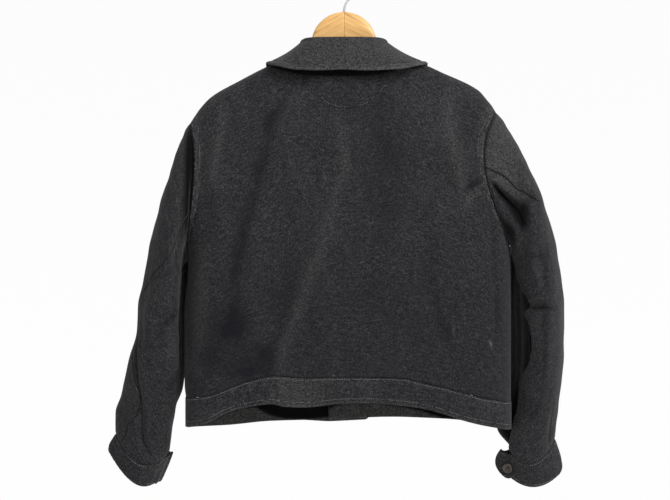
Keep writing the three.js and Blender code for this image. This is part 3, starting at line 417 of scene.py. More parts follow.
# Short sharp folds that hold a shadow, in the same rows
SHARP_FOLDS = [
    (-230, 366, -246, 430, 2.6, 0.6),
    (217, 329, 191, 349, 3, 0.55),
    (-206, 345, -212, 372, 3, 0.3),
]
COLLAR_SHADE_HALF = 128
COLLAR_SHADE = {
    "x": [-128, -118, -86, -54, 0, 32, 64, 85, 118, 128],
    "drop": [141, 148.4, 159.6, 164.9, 166, 165.4, 161.2, 154.2, 143.6, 138],
}
ARMHOLE_ROWS = (2.2, 9.4)
MOON_MIDDLE, MOON_HALF = 4, 74
HALF_MOON = {
    "x": [-69, -64, -53.5, -39.5, -22.5, -3, 14.5, 33.5, 49, 61, 73.5, 78.5],
    "drop": [168.5, 177, 187.6, 198, 210, 215.3, 214.5, 210, 198, 185.8, 170, 165],
}
# Nap colours: dark, middle and pale; a pale colour for worn nap and painted highlight, a dark one for
# painted shade in folds and low down, and near black for deep painted shade
NAP_DARK, NAP_MID, NAP_PALE = (12, 12, 14), (29, 29, 31), (55, 54, 55)
NAP_WEAR_AND_HIGHLIGHT, NAP_PAINTED_SHADE, NAP_UNLIT = (92, 90, 87), (13, 13, 17), (2, 2, 3)
THREAD_DARK, THREAD_PALE = (80, 79, 78), (112, 110, 108)


def unit(vectors):
    return vectors / np.maximum(np.linalg.norm(vectors, axis=-1, keepdims=True), 1e-9)


def armhole_edge(side, level, face):
    """x, y and drop of the panel's side edge: the armhole, then the side seam."""
    drop = mix(side["tip_drop"], side["seam_drop"], level)
    angle = np.arccos(np.clip(1 - 2 * level / UNDERARM, -1, 1))
    scoop = np.where(face < 0, side["scoop_back"], side["scoop_front"])
    line = mix(side["tip"], side["under"], level / UNDERARM)
    hole_x = line - scoop * np.sin(angle) ** 2 * (1 + 0.25 * np.cos(angle))
    seam_x = through(side["seam_at"], side["seam_x"], drop)
    x = np.where(level >= UNDERARM, seam_x, hole_x)
    y = np.where(level >= UNDERARM, 0, face * ARMHOLE_DEPTH * np.sin(angle))
    return side["sign"] * x, y, drop


def top_drop(column, face):
    """The shoulder's ridge, and between the neck points the dip of the neck edge."""
    ridge = np.where(
        column < 0,
        through(LEFT["shoulder_x"], LEFT["shoulder_drop"], np.abs(column) * LEFT["tip"]),
        through(RIGHT["shoulder_x"], RIGHT["shoulder_drop"], np.abs(column) * RIGHT["tip"]),
    )
    across = np.clip(column / NECK_SHARE, -1, 1)
    neck = mix(LEFT["shoulder_drop"][0], RIGHT["shoulder_drop"][0], (across + 1) / 2)
    dip = np.where(face < 0, NECK_DIP_BACK, NECK_DIP_FRONT)
    return np.where(np.abs(column) >= NECK_SHARE, ridge, neck + dip * (1 - across**2))


def fold_rise(folds, x, drop):
    total = 0
    for from_x, from_drop, to_x, to_drop, width, rise in folds:
        run_x, run_drop = to_x - from_x, to_drop - from_drop
        share = ((x - from_x) * run_x + (drop - from_drop) * run_drop) / (run_x**2 + run_drop**2)
        share = np.clip(share, 0, 1)
        away = np.hypot(x - from_x - share * run_x, drop - from_drop - share * run_drop)
        swell = np.sin(math.pi * np.clip(share, 0.12, 0.88))
        total = total + rise * np.exp(-((away / width) ** 2)) * swell
    return total


def long_rise(x, drop):
    total = 0
    for drops, xs, widths, rises in LONG_FOLDS:
        off = (x - through(drops, xs, drop)) / through(drops, widths, drop)
        ends = ease((drop - drops[0] + 25) / 50) * ease((drops[-1] + 25 - drop) / 50)
        total = total + through(drops, rises, drop) * np.exp(-(off**2)) * ends
    return total


def creases_back(x, drop):
    return fold_rise(CREASES_BACK, x, drop) + long_rise(x, drop)


def swells(a, b, size, seed):
    """Gentle uneven swells, about size across, from a few crossing waves."""
    draw = np.random.default_rng(seed)
    total = 0
    for _ in range(7):
        turn, phase = draw.uniform(0, 2 * math.pi, 2)
        length = size * draw.uniform(0.7, 1.7)
        total = total + np.sin((a * math.cos(turn) + b * math.sin(turn)) * 2 * math.pi / length + phase)
    return total / 4


def body_point(level, column, face):
    """A point on the body's outer face. Level runs from the shoulder to the band's seam, column
    from -1 at the left side to 1 at the right; face is -1 behind and 1 in front."""
    left_x, left_y, _ = armhole_edge(LEFT, level, face)
    right_x, right_y, _ = armhole_edge(RIGHT, level, face)
    x = mix(left_x, right_x, (column + 1) / 2)
    share = np.minimum(np.abs(column), 1)
    if face < 0:
        bottom = through(BAND_SEAM_BACK["x"], BAND_SEAM_BACK["drop"], x)
    else:
        bottom = through(HEM_FRONT["x"], HEM_FRONT["drop"], x) - BAND_HEIGHT
    seam = np.where(x < 0, LEFT["seam_drop"], RIGHT["seam_drop"])
    top = top_drop(column, face)
    drop = mix(top, mix(bottom, seam, share**6), level)
    below = drop - top
    at_edge = np.abs(np.where(column < 0, left_y, right_y))
    hang = through(DEPTHS["drop"], DEPTHS["back" if face < 0 else "front"], drop)
    squareness = 13 if face < 0 else 4
    full = at_edge + (hang - at_edge) * np.sqrt(np.maximum(0, 1 - share**squareness))
    neck = NECK_BACK if face < 0 else NECK_FRONT
    neck_y = neck * np.sqrt(np.maximum(0, 1 - (share / NECK_SHARE) ** 2))
    over_wood = mix(HEAD_WALL, ARM_END_WALL, np.clip(np.abs(x) / ARM_REACH, 0, 1)) + WOOD_EASE
    round_over = np.sqrt(np.maximum(0, 1 - (1 - np.clip(below / over_wood, 0, 1)) ** 2))
    start = np.maximum(neck_y, over_wood * round_over)
    y = start + (full - start) * ease(below / SHOULDER_EASE)
    held = share**8 * (1 - ease((level - 0.26) / (UNDERARM - 0.26)))
    y = mix(y, at_edge, np.where(share >= 1, 1, held))
    quiet = np.minimum(1, below / 60) * (1 - share**6)
    y = y + quiet * fold_rise(FOLDS_BACK if face < 0 else FOLDS_FRONT, x, drop)
    return np.stack([x, face * y, -drop], -1)


def from_armhole(level, column, face):
    """How far a point of the panel lies from the nearer armhole or side edge."""
    left_x, _, _ = armhole_edge(LEFT, level, face)
    right_x, _, _ = armhole_edge(RIGHT, level, face)
    return (1 - np.abs(column)) * (right_x - left_x) / 2


def seam_relief(away, along, seed):
    """The edge dips into the seam, and two topstitched rows pucker the allowance behind it."""
    pucker = np.sin(2 * math.pi * along / ARMHOLE_PUCKER + 2 * swells(along, away, 30, seed))
    band = np.exp(-(((away - 6) / 5.5) ** 2))
    rows = sum(np.exp(-(((away - row) / 0.9) ** 2)) for row in ARMHOLE_ROWS)
    return -0.9 * np.exp(-((away / 1.2) ** 2)) + band * (0.9 + 0.7 * pucker) - 0.45 * rows


def back_surface(level, column):
    point = body_point(level, column, -1)
    x, drop = point[..., 0], -point[..., 2]
    away = from_armhole(level, column, -1)
    edge_fade = np.clip((away - 10) / 30, 0, 1) * np.clip((drop - 150) / 60, 0, 1)
    relief = edge_fade * (1.2 * creases_back(x, drop) + 0.9 * swells(x * 1.6, drop * 0.7, 60, 3))
    relief = relief + edge_fade * 0.35 * swells(x, drop, 22, 4)
    relief = relief + mix(1, 0.35, ease((level - 0.38) / 0.1)) * seam_relief(away, drop, 5)
    band_seam = (1 - level) * BACK_LENGTH
    pucker = np.sin(2 * math.pi * x / BAND_PUCKER + 2 * swells(x, drop, 40, 6))
    relief = relief + np.exp(-((band_seam / 9) ** 2)) * 0.35 * pucker
    relief = relief - 0.9 * np.exp(-((band_seam / 1.6) ** 2))
    moon = through(HALF_MOON["x"], HALF_MOON["drop"], x) - drop
    inside = (np.abs(x - MOON_MIDDLE) < MOON_HALF) / (1 + np.exp(-moon / 1.2))
    relief = relief + 0.7 * inside * np.clip((drop - 140) / 20, 0, 1)
    relief = relief - 0.5 * np.exp(-((moon / 1.3) ** 2)) * (np.abs(x - MOON_MIDDLE) < MOON_HALF)
    point[..., 1] -= relief * np.where(level > 0, 1, 0)
    return point


def flannel_finish(name):
    """Brushed wool flannel: a matt mottled nap over a fine twill, with soft sheen, and worn nap, painted
    highlight and painted shade laid on from point attributes.
    """
    finish, tree, shader = start_finish(
        name, Roughness=0.95, Specular_IOR_Level=0.06, Sheen_Weight=0.05, Sheen_Roughness=0.5
    )
    place = node(tree, "TexCoord").outputs["Object"]
    woven = node(tree, "UVMap", uv_map="cut").outputs["UV"]
    brushed = node(tree, "Mapping", [("Vector", woven)], Scale=(0.3, 1.1, 1)).outputs["Vector"]

    def noise(source, scale, detail, rough):
        settings = {"Scale": scale, "Detail": detail, "Roughness": rough}
        return node(tree, "TexNoise", [("Vector", source)], **settings).outputs["Fac"]

    fuzz, nap = noise(place, 950, 3, 0.7), noise(place, 400, 4, 0.62)
    streak, cloud = noise(brushed, 260, 3, 0.6), noise(place, 17, 3, 0.55)
    value = None
    for source, weight in ((fuzz, 0.24), (nap, 0.46), (streak, 0.2), (cloud, 0.1)):
        weighed = node(tree, "Math", [(0, source)], operation="MULTIPLY")
        weighed.inputs[1].default_value = weight
        if value is None:
            value = weighed.outputs[0]
        else:
            both = [(0, value), (1, weighed.outputs[0])]
            value = node(tree, "Math", both, operation="ADD").outputs[0]
    cloth_colour = ramp(tree, value, [(0.39, NAP_DARK), (0.5, NAP_MID), (0.62, NAP_PALE)])
    # Layers over the nap: the first paints worn nap and painted highlight paler, flat paints painted shade
    # darker, unlit paints deep painted shade near black
    for attribute, colour, breakup in (
        ("flat", NAP_PAINTED_SHADE, cloud), ("wear_and_highlight", NAP_WEAR_AND_HIGHLIGHT, nap), ("unlit", NAP_UNLIT, None),
    ):
        share = node(tree, "Attribute", attribute_name=attribute).outputs["Fac"]
        if breakup is not None:
            spread = node(tree, "MapRange", [("Value", breakup)], From_Min=0.3, From_Max=0.6)
            share = node(
                tree, "Math", [(0, share), (1, spread.outputs["Result"])], operation="MULTIPLY"
            ).outputs[0]
        blend = node(tree, "Mix", [("Factor", share)], data_type="RGBA")
        colour_in = [s for s in blend.inputs if s.type == "RGBA"]
        tree.links.new(cloth_colour, colour_in[0])
        colour_in[1].default_value = linear(colour)
        cloth_colour = [s for s in blend.outputs if s.type == "RGBA"][0]
    tree.links.new(cloth_colour, shader.inputs["Base Color"])
    twill = node(
        tree, "TexWave", [("Vector", woven)], bands_direction="DIAGONAL", Scale=190, Distortion=1.5,
    ).outputs["Fac"]
    height = node(tree, "Math", [(0, twill), (2, value)], operation="MULTIPLY_ADD")
    height.inputs[1].default_value = 0.12
    relief = node(tree, "Bump", [("Height", height.outputs[0])], Strength=0.75, Distance=0.0022)
    tree.links.new(relief.outputs["Normal"], shader.inputs["Normal"])
    return finish


def cloth(
    name, surface, rows, columns, wall, facing, free, finish, wear_and_highlight=None, flat=None, unlit=None, inside=None
):
    """A cloth piece from a surface of two numbers: its face, the same points moved in by the
    wall, and a rim between them, rounded along the free edges and flat in the seams."""
    u, v = np.meshgrid(rows, columns, indexing="ij")
    face = surface(u, v)
    down, across = np.gradient(face, axis=0), np.gradient(face, axis=1)
    outward = facing * unit(np.cross(down, across))
    inner = face - wall * outward
    number = np.arange(u.size).reshape(u.shape)
    away = np.zeros_like(face)
    bulge = np.zeros(u.shape)
    for edge, line, next_line in (
        ("top", np.s_[0, :], np.s_[1, :]), ("bottom", np.s_[-1, :], np.s_[-2, :]),
        ("left", np.s_[:, 0], np.s_[:, 1]), ("right", np.s_[:, -1], np.s_[:, -2]),
    ):
        away[line] = unit(face[line] - face[next_line])
        bulge[line] = np.maximum(bulge[line], 1 if edge in free else 0)
    border = np.concatenate([number[0, :-1], number[:-1, -1], number[-1, :0:-1], number[:0:-1, 0]])
    flat_face, flat_inner = face.reshape(-1, 3), inner.reshape(-1, 3)
    flat_out, flat_away = outward.reshape(-1, 3)[border], away.reshape(-1, 3)[border]
    middle = (flat_face[border] + flat_inner[border]) / 2
    half = wall / 2 * bulge.reshape(-1)[border][:, None]
    points = [flat_face, flat_inner]
    for turn in (0.25, 0.5, 0.75):
        angle = turn * math.pi
        points.append(middle + math.cos(angle) * wall / 2 * flat_out + math.sin(angle) * half * flat_away)
    quads = np.stack([number[:-1, :-1], number[1:, :-1], number[1:, 1:], number[:-1, 1:]], -1)
    quads = quads.reshape(-1, 4)
    faces = [quads, quads[:, ::-1] + u.size]
    rim = [2 * u.size + k * len(border) + np.arange(len(border)) for k in range(3)]
    loops = [border, *rim, border + u.size]
    for near, far in zip(loops[:-1], loops[1:]):
        faces.append(np.stack([near, np.roll(near, -1), np.roll(far, -1), far], -1))
    faces = np.vstack(faces)
    if facing < 0:
        faces = faces[:, ::-1]
    piece = new_piece(name, np.vstack(points), faces, finish)
    middle_column = len(columns) // 2
    width = np.cumsum(np.linalg.norm(np.diff(face, axis=1, prepend=face[:, :1]), axis=-1), axis=1)
    length = np.cumsum(np.linalg.norm(np.diff(face, axis=0, prepend=face[:1]), axis=-1), axis=0)
    width = width - width[:, middle_column][:, None]
    cut = np.stack([width, length], -1).reshape(-1, 2) * MM
    owner = np.concatenate([number.reshape(-1)] * 2 + [border] * 3)
    corner = np.empty(len(piece.data.loops), int)
    piece.data.loops.foreach_get("vertex_index", corner)
    layer = piece.data.uv_layers.new(name="cut")
    layer.data.foreach_set("uv", cut[owner][corner].ravel())
    # Point attributes for the finish: the first paints worn nap and painted highlight, flat paints painted
    # shade, unlit paints deep painted shade
    for label, amount in (("wear_and_highlight", wear_and_highlight), ("flat", flat), ("unlit", unlit)):
        values = np.zeros(len(piece.data.vertices))
        if amount is not None:
            values[: u.size] = np.broadcast_to(amount(u, v, face), u.shape).reshape(-1)
            values[2 * u.size :] = np.tile(values[border], 3)
        if inside is not None and label in inside:
            values[u.size : 2 * u.size] = inside[label](face).reshape(-1)
        piece.data.attributes.new(label, "FLOAT", "POINT").data.foreach_set("value", values)
    return piece


def stitch_row(surface, u, v, facing, show=0.7, pitch=3.7, length=2.7, thread=0.3):
    """Points and faces of one row of machine stitches along the line u, v of a surface. The nap
    closes over all but a share of them."""
    u, v = np.asarray(u, float), np.asarray(v, float)
    line = surface(u, v)
    run = np.concatenate([[0], np.cumsum(np.linalg.norm(np.diff(line, axis=0), axis=1))])
    at = np.arange(pitch / 2, run[-1], pitch)
    u, v = np.interp(at, run, u), np.interp(at, run, v)
    small = 1e-3
    here = surface(u, v)
    outward = facing * unit(np.cross(surface(u + small, v) - surface(u - small, v),
                                     surface(u, v + small) - surface(u, v - small)))
    heading = unit(np.gradient(here, axis=0))
    sideways = np.cross(heading, outward)
    along = np.array([-1, -0.55, 0.55, 1]) * length / 2
    uneven = np.sin(at * 0.19 + 3 * np.sin(at * 0.043)) * 0.5 + 0.5
    lift = mix(-0.42, 0.2, np.clip(uneven + 2 * show - 1, 0, 1))
    height = np.stack([lift - 0.35, lift, lift, lift - 0.35], -1)
    size = np.array([0.55, 1, 1, 0.55]) * thread
    turn = np.array([0.25, 0.75, 1.25, 1.75]) * math.pi
    middle = here[:, None, :] + along[None, :, None] * heading[:, None, :]
    middle = middle + height[:, :, None] * outward[:, None, :]
    points = (
        middle[:, :, None, :]
        + (size[:, None] * np.cos(turn))[None, :, :, None] * outward[:, None, None, :]
        + (size[:, None] * np.sin(turn))[None, :, :, None] * sideways[:, None, None, :]
    )
    ring, k = np.meshgrid(np.arange(3), np.arange(4), indexing="ij")
    here_k, next_k = ring * 4 + k, ring * 4 + (k + 1) % 4
    one = np.stack([here_k, next_k, next_k + 4, here_k + 4], -1)
    one = np.vstack([one.reshape(-1, 4), [3, 2, 1, 0], [12, 13, 14, 15]])
    faces = (one[None] + 16 * np.arange(len(at))[:, None, None]).reshape(-1, 4)
    return points.reshape(-1, 3), faces


def stitching(name, rows, finish):
    """Joins several rows of stitches into one piece."""
    points, faces, count = [], [], 0
    for row_points, row_faces in rows:
        points.append(row_points)
        faces.append(row_faces + count)
        count += len(row_points)
    return new_piece(name, np.vstack(points), np.vstack(faces), finish)


flannel = flannel_finish("charcoal_flannel")
thread_finish, thread_tree, thread_shader = start_finish("grey_thread", Roughness=0.7, Sheen_Weight=0.2)
ply = node(
    thread_tree, "TexNoise",
    [("Vector", node(thread_tree, "TexCoord").outputs["Object"])], Scale=1500, Detail=2,
)
thread_tree.links.new(
    ramp(thread_tree, ply.outputs["Fac"], [(0.35, THREAD_DARK), (0.65, THREAD_PALE)]),
    thread_shader.inputs["Base Color"],
)

# Small rubbed spots and streaks as rows of x, drop, half width, half height and strength
RUBBED = [
    (173, 570, 0.9, 13, 0.35), (179, 560, 0.8, 17, 0.3), (186, 566, 0.9, 9, 0.3),
    (192, 556, 0.8, 12, 0.3), (181, 588, 5, 1.2, 0.3), (233, 592, 1.2, 4, 0.8),
    (238, 594, 1.0, 2.4, 0.6), (229, 588, 2.5, 1, 0.5), (-192, 343.8, 1.2, 1.6, 0.8),
    (109, 342, 1.0, 1.4, 0.7), (-16, 643, 1.6, 1.3, 1.0), (-243, 321, 3, 0.8, 0.9),
    (196, 500, 7, 0.9, 0.25), (150, 470, 10, 0.9, 0.2), (-30, 330, 0.9, 8, 0.25),
    (40, 400, 9, 0.8, 0.2),
]
fine_columns = np.concatenate([
    np.linspace(-1, -0.935, 15), np.linspace(-0.92, 0.92, 140), np.linspace(0.935, 1, 15),
])
levels = np.concatenate([0.06 * (np.arange(14) / 14) ** 2, np.linspace(0.06, 1, 178)])


def back_wear_and_highlight(level, column, face):
    """Where the nap is rubbed pale: seam edges and a few streaks low on the right; and painted highlight
    along the crests of the folds.
    """
    x, drop = face[..., 0], -face[..., 2]
    away = from_armhole(level, column, -1)
    patchy = 0.6 + 0.4 * swells(drop, away * 3, 16, 8)
    edge = 0.22 * np.exp(-(((away - 5.5) / 6) ** 4)) * patchy * (1 - ease((level - 0.34) / 0.1))
    streaks = 0
    for streak_x, streak_drop, size_x, size_drop, amount in RUBBED:
        off = ((x - streak_x) / size_x) ** 2 + ((drop - streak_drop) / size_drop) ** 2
        streaks = streaks + amount * np.exp(-off)
    ridge_highlight = 0.14 * np.clip(creases_back(x, drop) / 3, 0, 1)
    return np.clip(edge + streaks + ridge_highlight, 0, 1)


def back_painted_shade(level, column, face):
    """Painted shade: darker down in the folds, darker lower down the back, and most on its lower left."""
    x, drop = face[..., 0], -face[..., 2]
    # painted shade down in the fold valleys
    folds = 0.7 * np.clip(-creases_back(x, drop) / 4.5, 0, 1)
    # painted shade that deepens towards the hem, most on the left
    low = 0.3 * ease((drop - 380) / 220) + 0.2 * ease((drop - 460) / 120) * ease((-70 - x) / 60)
    low = low + 0.12 * ease((drop - 160) / 100)
    low = low + 0.2 * np.exp(-(((x + 145) / 60) ** 2)) * ease((drop - 480) / 90)
    return np.clip(folds * (1 - 0.8 * low) + low, 0, 1)


def back_unlit(level, column, face):
    """Where hardly any light comes: under the collar's edge and down in the armhole's seam."""
    x, drop = face[..., 0], -face[..., 2]
    away = from_armhole(level, column, -1)
    shade_edge = through(COLLAR_SHADE["x"], COLLAR_SHADE["drop"], x)
    collar_shade = np.clip((shade_edge + 1.5 - drop) / 2.5, 0, 1)
    rows = sum(np.exp(-(((away - row) / 0.8) ** 2)) for row in ARMHOLE_ROWS)
    seam = (0.85 * np.exp(-((away / 1.3) ** 2)) + 0.3 * rows) * (level < UNDERARM)
    moon = through(HALF_MOON["x"], HALF_MOON["drop"], x) - drop
    groove = 0.45 * np.exp(-(((moon + 0.6) / 1.2) ** 2)) * (np.abs(x - MOON_MIDDLE) < MOON_HALF)
    groove = groove + fold_rise(SHARP_FOLDS, x, drop)
    return np.clip(collar_shade * (np.abs(x) < COLLAR_SHADE_HALF) + seam + groove, 0, 1)


back = cloth(
    "back_panel", back_surface, levels, fine_columns, CLOTH, 1, (), flannel,
    wear_and_highlight=back_wear_and_highlight, flat=back_painted_shade, unlit=back_unlit,
)
LINE_POINTS = 300
line = np.linspace(0, 1, LINE_POINTS)
back_rows = []
for sign in (-1, 1):
    for row in ARMHOLE_ROWS:
        hole_levels = mix(0.012, 0.4, line)
        reach = (armhole_edge(RIGHT, hole_levels, -1)[0] - armhole_edge(LEFT, hole_levels, -1)[0]) / 2
        back_rows.append(stitch_row(back_surface, hole_levels, sign * (1 - row / reach), 1, show=0.46))


def at_spot(xs, drops, face):
    """Level and column of the panel's points that lie at these x and drops."""
    level, column = np.full(len(xs), 0.3), np.zeros(len(xs))
    for _ in range(40):
        point = body_point(level, column, face)
        column = column + (xs - point[:, 0]) / 260
        level = np.clip(level + (drops + point[:, 2]) / 540, 0, 1)
    return level, column


moon_x = mix(HALF_MOON["x"][0], HALF_MOON["x"][-1], line)
moon_level, moon_column = at_spot(moon_x, through(HALF_MOON["x"], HALF_MOON["drop"], moon_x), -1)
back_rows.append(stitch_row(back_surface, moon_level, moon_column, 1, show=0.66))
back_stitches = stitching("back_stitching", back_rows, thread_finish)
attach(back, "root")
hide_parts("jacket_back")
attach(back_stitches, "root")

# Fronts: left and right, each from its side seam past the centre; the left one laps over the
# right one and its edge is topstitched.
LAP_FROM, LAP_TO, LAP_STEP = -23, 37, 3.2
LAP_RISES_FROM, LAP_RUN = -57, 30


def front_surface(side_name):
    """The front's face as a function of level and share: share is 0 at the centre line, and
    runs to 1 at the side seam on one side and to the free edge on the other."""
    lapped = side_name == "left"
    free_x = LAP_TO if lapped else LAP_FROM

    def surface(level, share):
        left_x, _, _ = armhole_edge(LEFT, level, 1)
        right_x, _, _ = armhole_edge(RIGHT, level, 1)
        free_column = 2 * (free_x - left_x) / (right_x - left_x) - 1
        past = share > 0 if lapped else share < 0
        column = np.where(past, np.abs(share) * free_column, share)
        point = body_point(level, column, 1)
        x, drop = point[..., 0], -point[..., 2]
        if lapped:
            point[..., 1] += LAP_STEP * ease((x - LAP_RISES_FROM) / LAP_RUN)
        away = from_armhole(level, column, 1)
        fade = np.clip((away - 12) / 30, 0, 1) * np.clip((drop - 190) / 50, 0, 1)
        fade = fade * np.clip((np.abs(x - 7) - 26) / 40, 0, 1)
        relief = fade * (0.9 * swells(x * 1.5, drop * 0.7, 60, 13) + 0.35 * swells(x, drop, 22, 14))
        relief = relief + np.where(level < UNDERARM, 1, 0.35) * seam_relief(away, drop, 15) * (away < 40)
        band_seam = (1 - level) * FRONT_LENGTH
        relief = relief - 0.9 * np.exp(-((band_seam / 1.6) ** 2))
        point[..., 1] += relief * np.where(level > 0, 1, 0)
        return point

    return surface


front_levels = np.concatenate([0.06 * (np.arange(14) / 14) ** 2, np.linspace(0.06, 1, 150)])
side_columns = np.concatenate([np.linspace(0, 0.92, 62), np.linspace(0.935, 1, 15)])
lap_columns = np.linspace(0.09, 1, 12)
for side_name, sign in (("left", -1), ("right", 1)):
    surface = front_surface(side_name)
    shares = np.sort(np.concatenate([sign * side_columns, -sign * lap_columns]))
    front = cloth(
        f"front_{side_name}_panel", surface, front_levels, shares, CLOTH, -1,
        ("right" if sign < 0 else "left",), flannel,
        inside={"unlit": lambda face: 0.9 * ease((-face[..., 2] - 300) / 60)},
    )
    rows = []
    for row in ARMHOLE_ROWS:
        hole_levels = mix(0.012, UNDERARM, line)
        reach = (armhole_edge(RIGHT, hole_levels, 1)[0] - armhole_edge(LEFT, hole_levels, 1)[0]) / 2
        rows.append(stitch_row(surface, hole_levels, sign * (1 - row / reach), -1))
    for inset in (0.93, 0.74) if sign < 0 else (0.9,):
        rows.append(stitch_row(surface, mix(0.03, 0.995, line), np.full(LINE_POINTS, -sign * inset), -1))
    front_stitches = stitching(f"front_{side_name}_stitching", rows, thread_finish)
    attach(front, "root")
    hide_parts(f"front_{side_name}")
    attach(front_stitches, "root")

# Hem band: a doubled strip in three lengths that closes the lower edge, seamed at the sides and
# edge-stitched at its top and bottom.
DOUBLED = 4
BAND_PROUD, BAND_LAP, LAP_LOWER = 0.9, 2, 3.5
HEM_BACK = {
    "x": [-250, -217, -190, -165, -114, -96, -64, 0, 37, 114, 155, 188, 216, 267],
    "drop": [723, 716, 701.5, 693, 685.5, 689.5, 690.8, 684.5, 684, 691, 700.4, 711.6, 718.6, 728],
}
BAND_STITCHES = (0.07, 0.86)


def band_surface(panel, hem, face, is_left):
    def surface(share, column):
        point = panel(np.ones_like(share), column)
        at_seam = np.abs(column) >= 1
        if face > 0:
            at_seam = (column <= -1) if is_left else (column >= 1)
        x = point[..., 0]
        drop = mix(-point[..., 2] + SEAM_GAP, through(hem["x"], hem["drop"], x), share)
        edge = 0.9 * (np.exp(-((share / 0.045) ** 2)) + 0.6 * np.exp(-(((share - 1) / 0.05) ** 2)))
        pucker = 0.35 * np.sin(2 * math.pi * x / BAND_PUCKER + 2 * swells(x, drop, 40, 21))
        near_rows = sum(np.exp(-(((share - row) / 0.05) ** 2)) for row in BAND_STITCHES)
        proud = BAND_PROUD + 0.9 - edge + pucker * near_rows - 0.3 * near_rows
        point[..., 1] += face * np.where(at_seam, 0, proud)
        if face > 0 and is_left:
            point[..., 1] += BAND_LAP * ease((x - LAP_RISES_FROM) / LAP_RUN)
            drop = drop + LAP_LOWER * share * ease((x + 70) / 50)
        point[..., 0] += np.where(at_seam, np.sign(column) * BAND_PROUD, 0)
        point[..., 2] = -drop
        return point

    return surface


def inside_shade(is_left):
    """How dark the inside of a front lies below the back's hem."""

    def shade(face):
        x, drop = face[..., 0], -face[..., 2]
        below = drop - through(HEM_BACK["x"], HEM_BACK["drop"], x)
        limit = through([-190, -150, -112, -60, 0, 60, 130, 190], [5, 7, 26, 26, 7, 7, 11, 16], x)
        if is_left:
            limit = np.where(x > -112, 26, limit)
        return ease((limit - below) / 5 + 0.5)

    return shade


band_rows = np.concatenate([np.linspace(0, 0.14, 8), np.linspace(0.2, 0.8, 9), np.linspace(0.84, 1, 8)])
left_shares = np.sort(np.concatenate([-side_columns, lap_columns]))
right_shares = np.sort(np.concatenate([side_columns, -lap_columns]))
for name, panel, hem, face, columns, free, width in (
    ("back", back_surface, HEM_BACK, -1, fine_columns, ("bottom",), 0.55),
    ("left", front_surface("left"), HEM_FRONT, 1, left_shares, ("bottom", "right"), 0.3),
    ("right", front_surface("right"), HEM_FRONT, 1, right_shares, ("bottom", "left"), 0.31),
):
    surface = band_surface(panel, hem, face, name == "left")
    facing = -face
    band = cloth(
        f"band_{name}", surface, band_rows, columns, DOUBLED, facing, free, flannel,
        # paler along the lower edge, where it is worn, and paler in a patch round x -70
        wear_and_highlight=lambda share, column, face: (
            0.12 * np.exp(-(((share - 0.99) / 0.03) ** 2))
            + 0.1 * np.exp(-(((face[..., 0] + 70) / 45) ** 4))
        ),
        # the fronts' inside faces: painted shade just below the back's hem, and painted light, a paler nap,
        # on the rest
        inside=(
            {"unlit": inside_shade(name == "left"), "wear_and_highlight": lambda face: np.full(face[..., 0].shape, 0.3)}
            if name != "back" else None
        ),
    )
    across = mix(columns[0], columns[-1], mix(0.004, 0.996, line))
    rows = [
        stitch_row(surface, np.full(LINE_POINTS, row), across, facing, show=show)
        for row, show in zip(BAND_STITCHES, (0.75, 0.62))
    ]
    band_stitches = stitching(f"band_{name}_stitching", rows, thread_finish)
    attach(band, "root")
    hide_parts(f"hem_band_{name}")
    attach(band_stitches, "root")

# Sleeves: each a wide top sleeve and a narrower under sleeve, set into the armhole. Rings run
# down the sleeve; degrees run round it, 0 at the outer edge, 180 at the body, minus behind.
RIGHT["rings"] = {
    "out_x": [
        257.6, 270.4, 281.5, 292.3, 304, 314.4, 324, 335, 342,
        348.5, 351.8, 352.6, 352, 349, 345, 341, 339.2,
    ],
    "out_drop": [242.8, 262.8, 283, 304, 328, 353, 382, 420, 453, 493, 528, 568, 608, 650, 690, 720, 746],
    "in_x": [
        266.6, 270.2, 271.6, 272.2, 272.5, 272.8, 273, 273.4, 274,
        275, 275.5, 275.5, 275, 273.5, 271, 266.5, 263,
    ],
    "in_drop": [436, 446, 456, 466, 477, 489, 503, 520, 538, 558, 580, 604, 632, 664, 698, 730, 762],
    "y": [0, 0, 0, 0, 0, 0, 1, 3, 5, 8, 10, 12, 15, 19, 23, 27, 30],
    "deep": [60, 61, 62, 63, 64, 64, 63, 62, 61, 60, 59, 57, 54, 50, 44, 38, 31],
    "sag": [0, 0, 0, 0, 0, 0, 0, 0, 0, 0, 0, 0, 0, 2, 8, 18, 30],
    "scoop": [18, 8, 2, 0, 0, 0, 0, 0, 0, 0, 0, 0, 0, 0, 0, 0, 0],
    "wrap": [0, 2, 6, 12, 18, 23, 27, 30, 30, 30, 30, 30, 28, 24, 16, 6, 0],
    "tuck": [0, 0, 0, 0, 0, 0, 0, 0, 0, 0, 0, 0, 0, 10, 28, 44, 0],
}
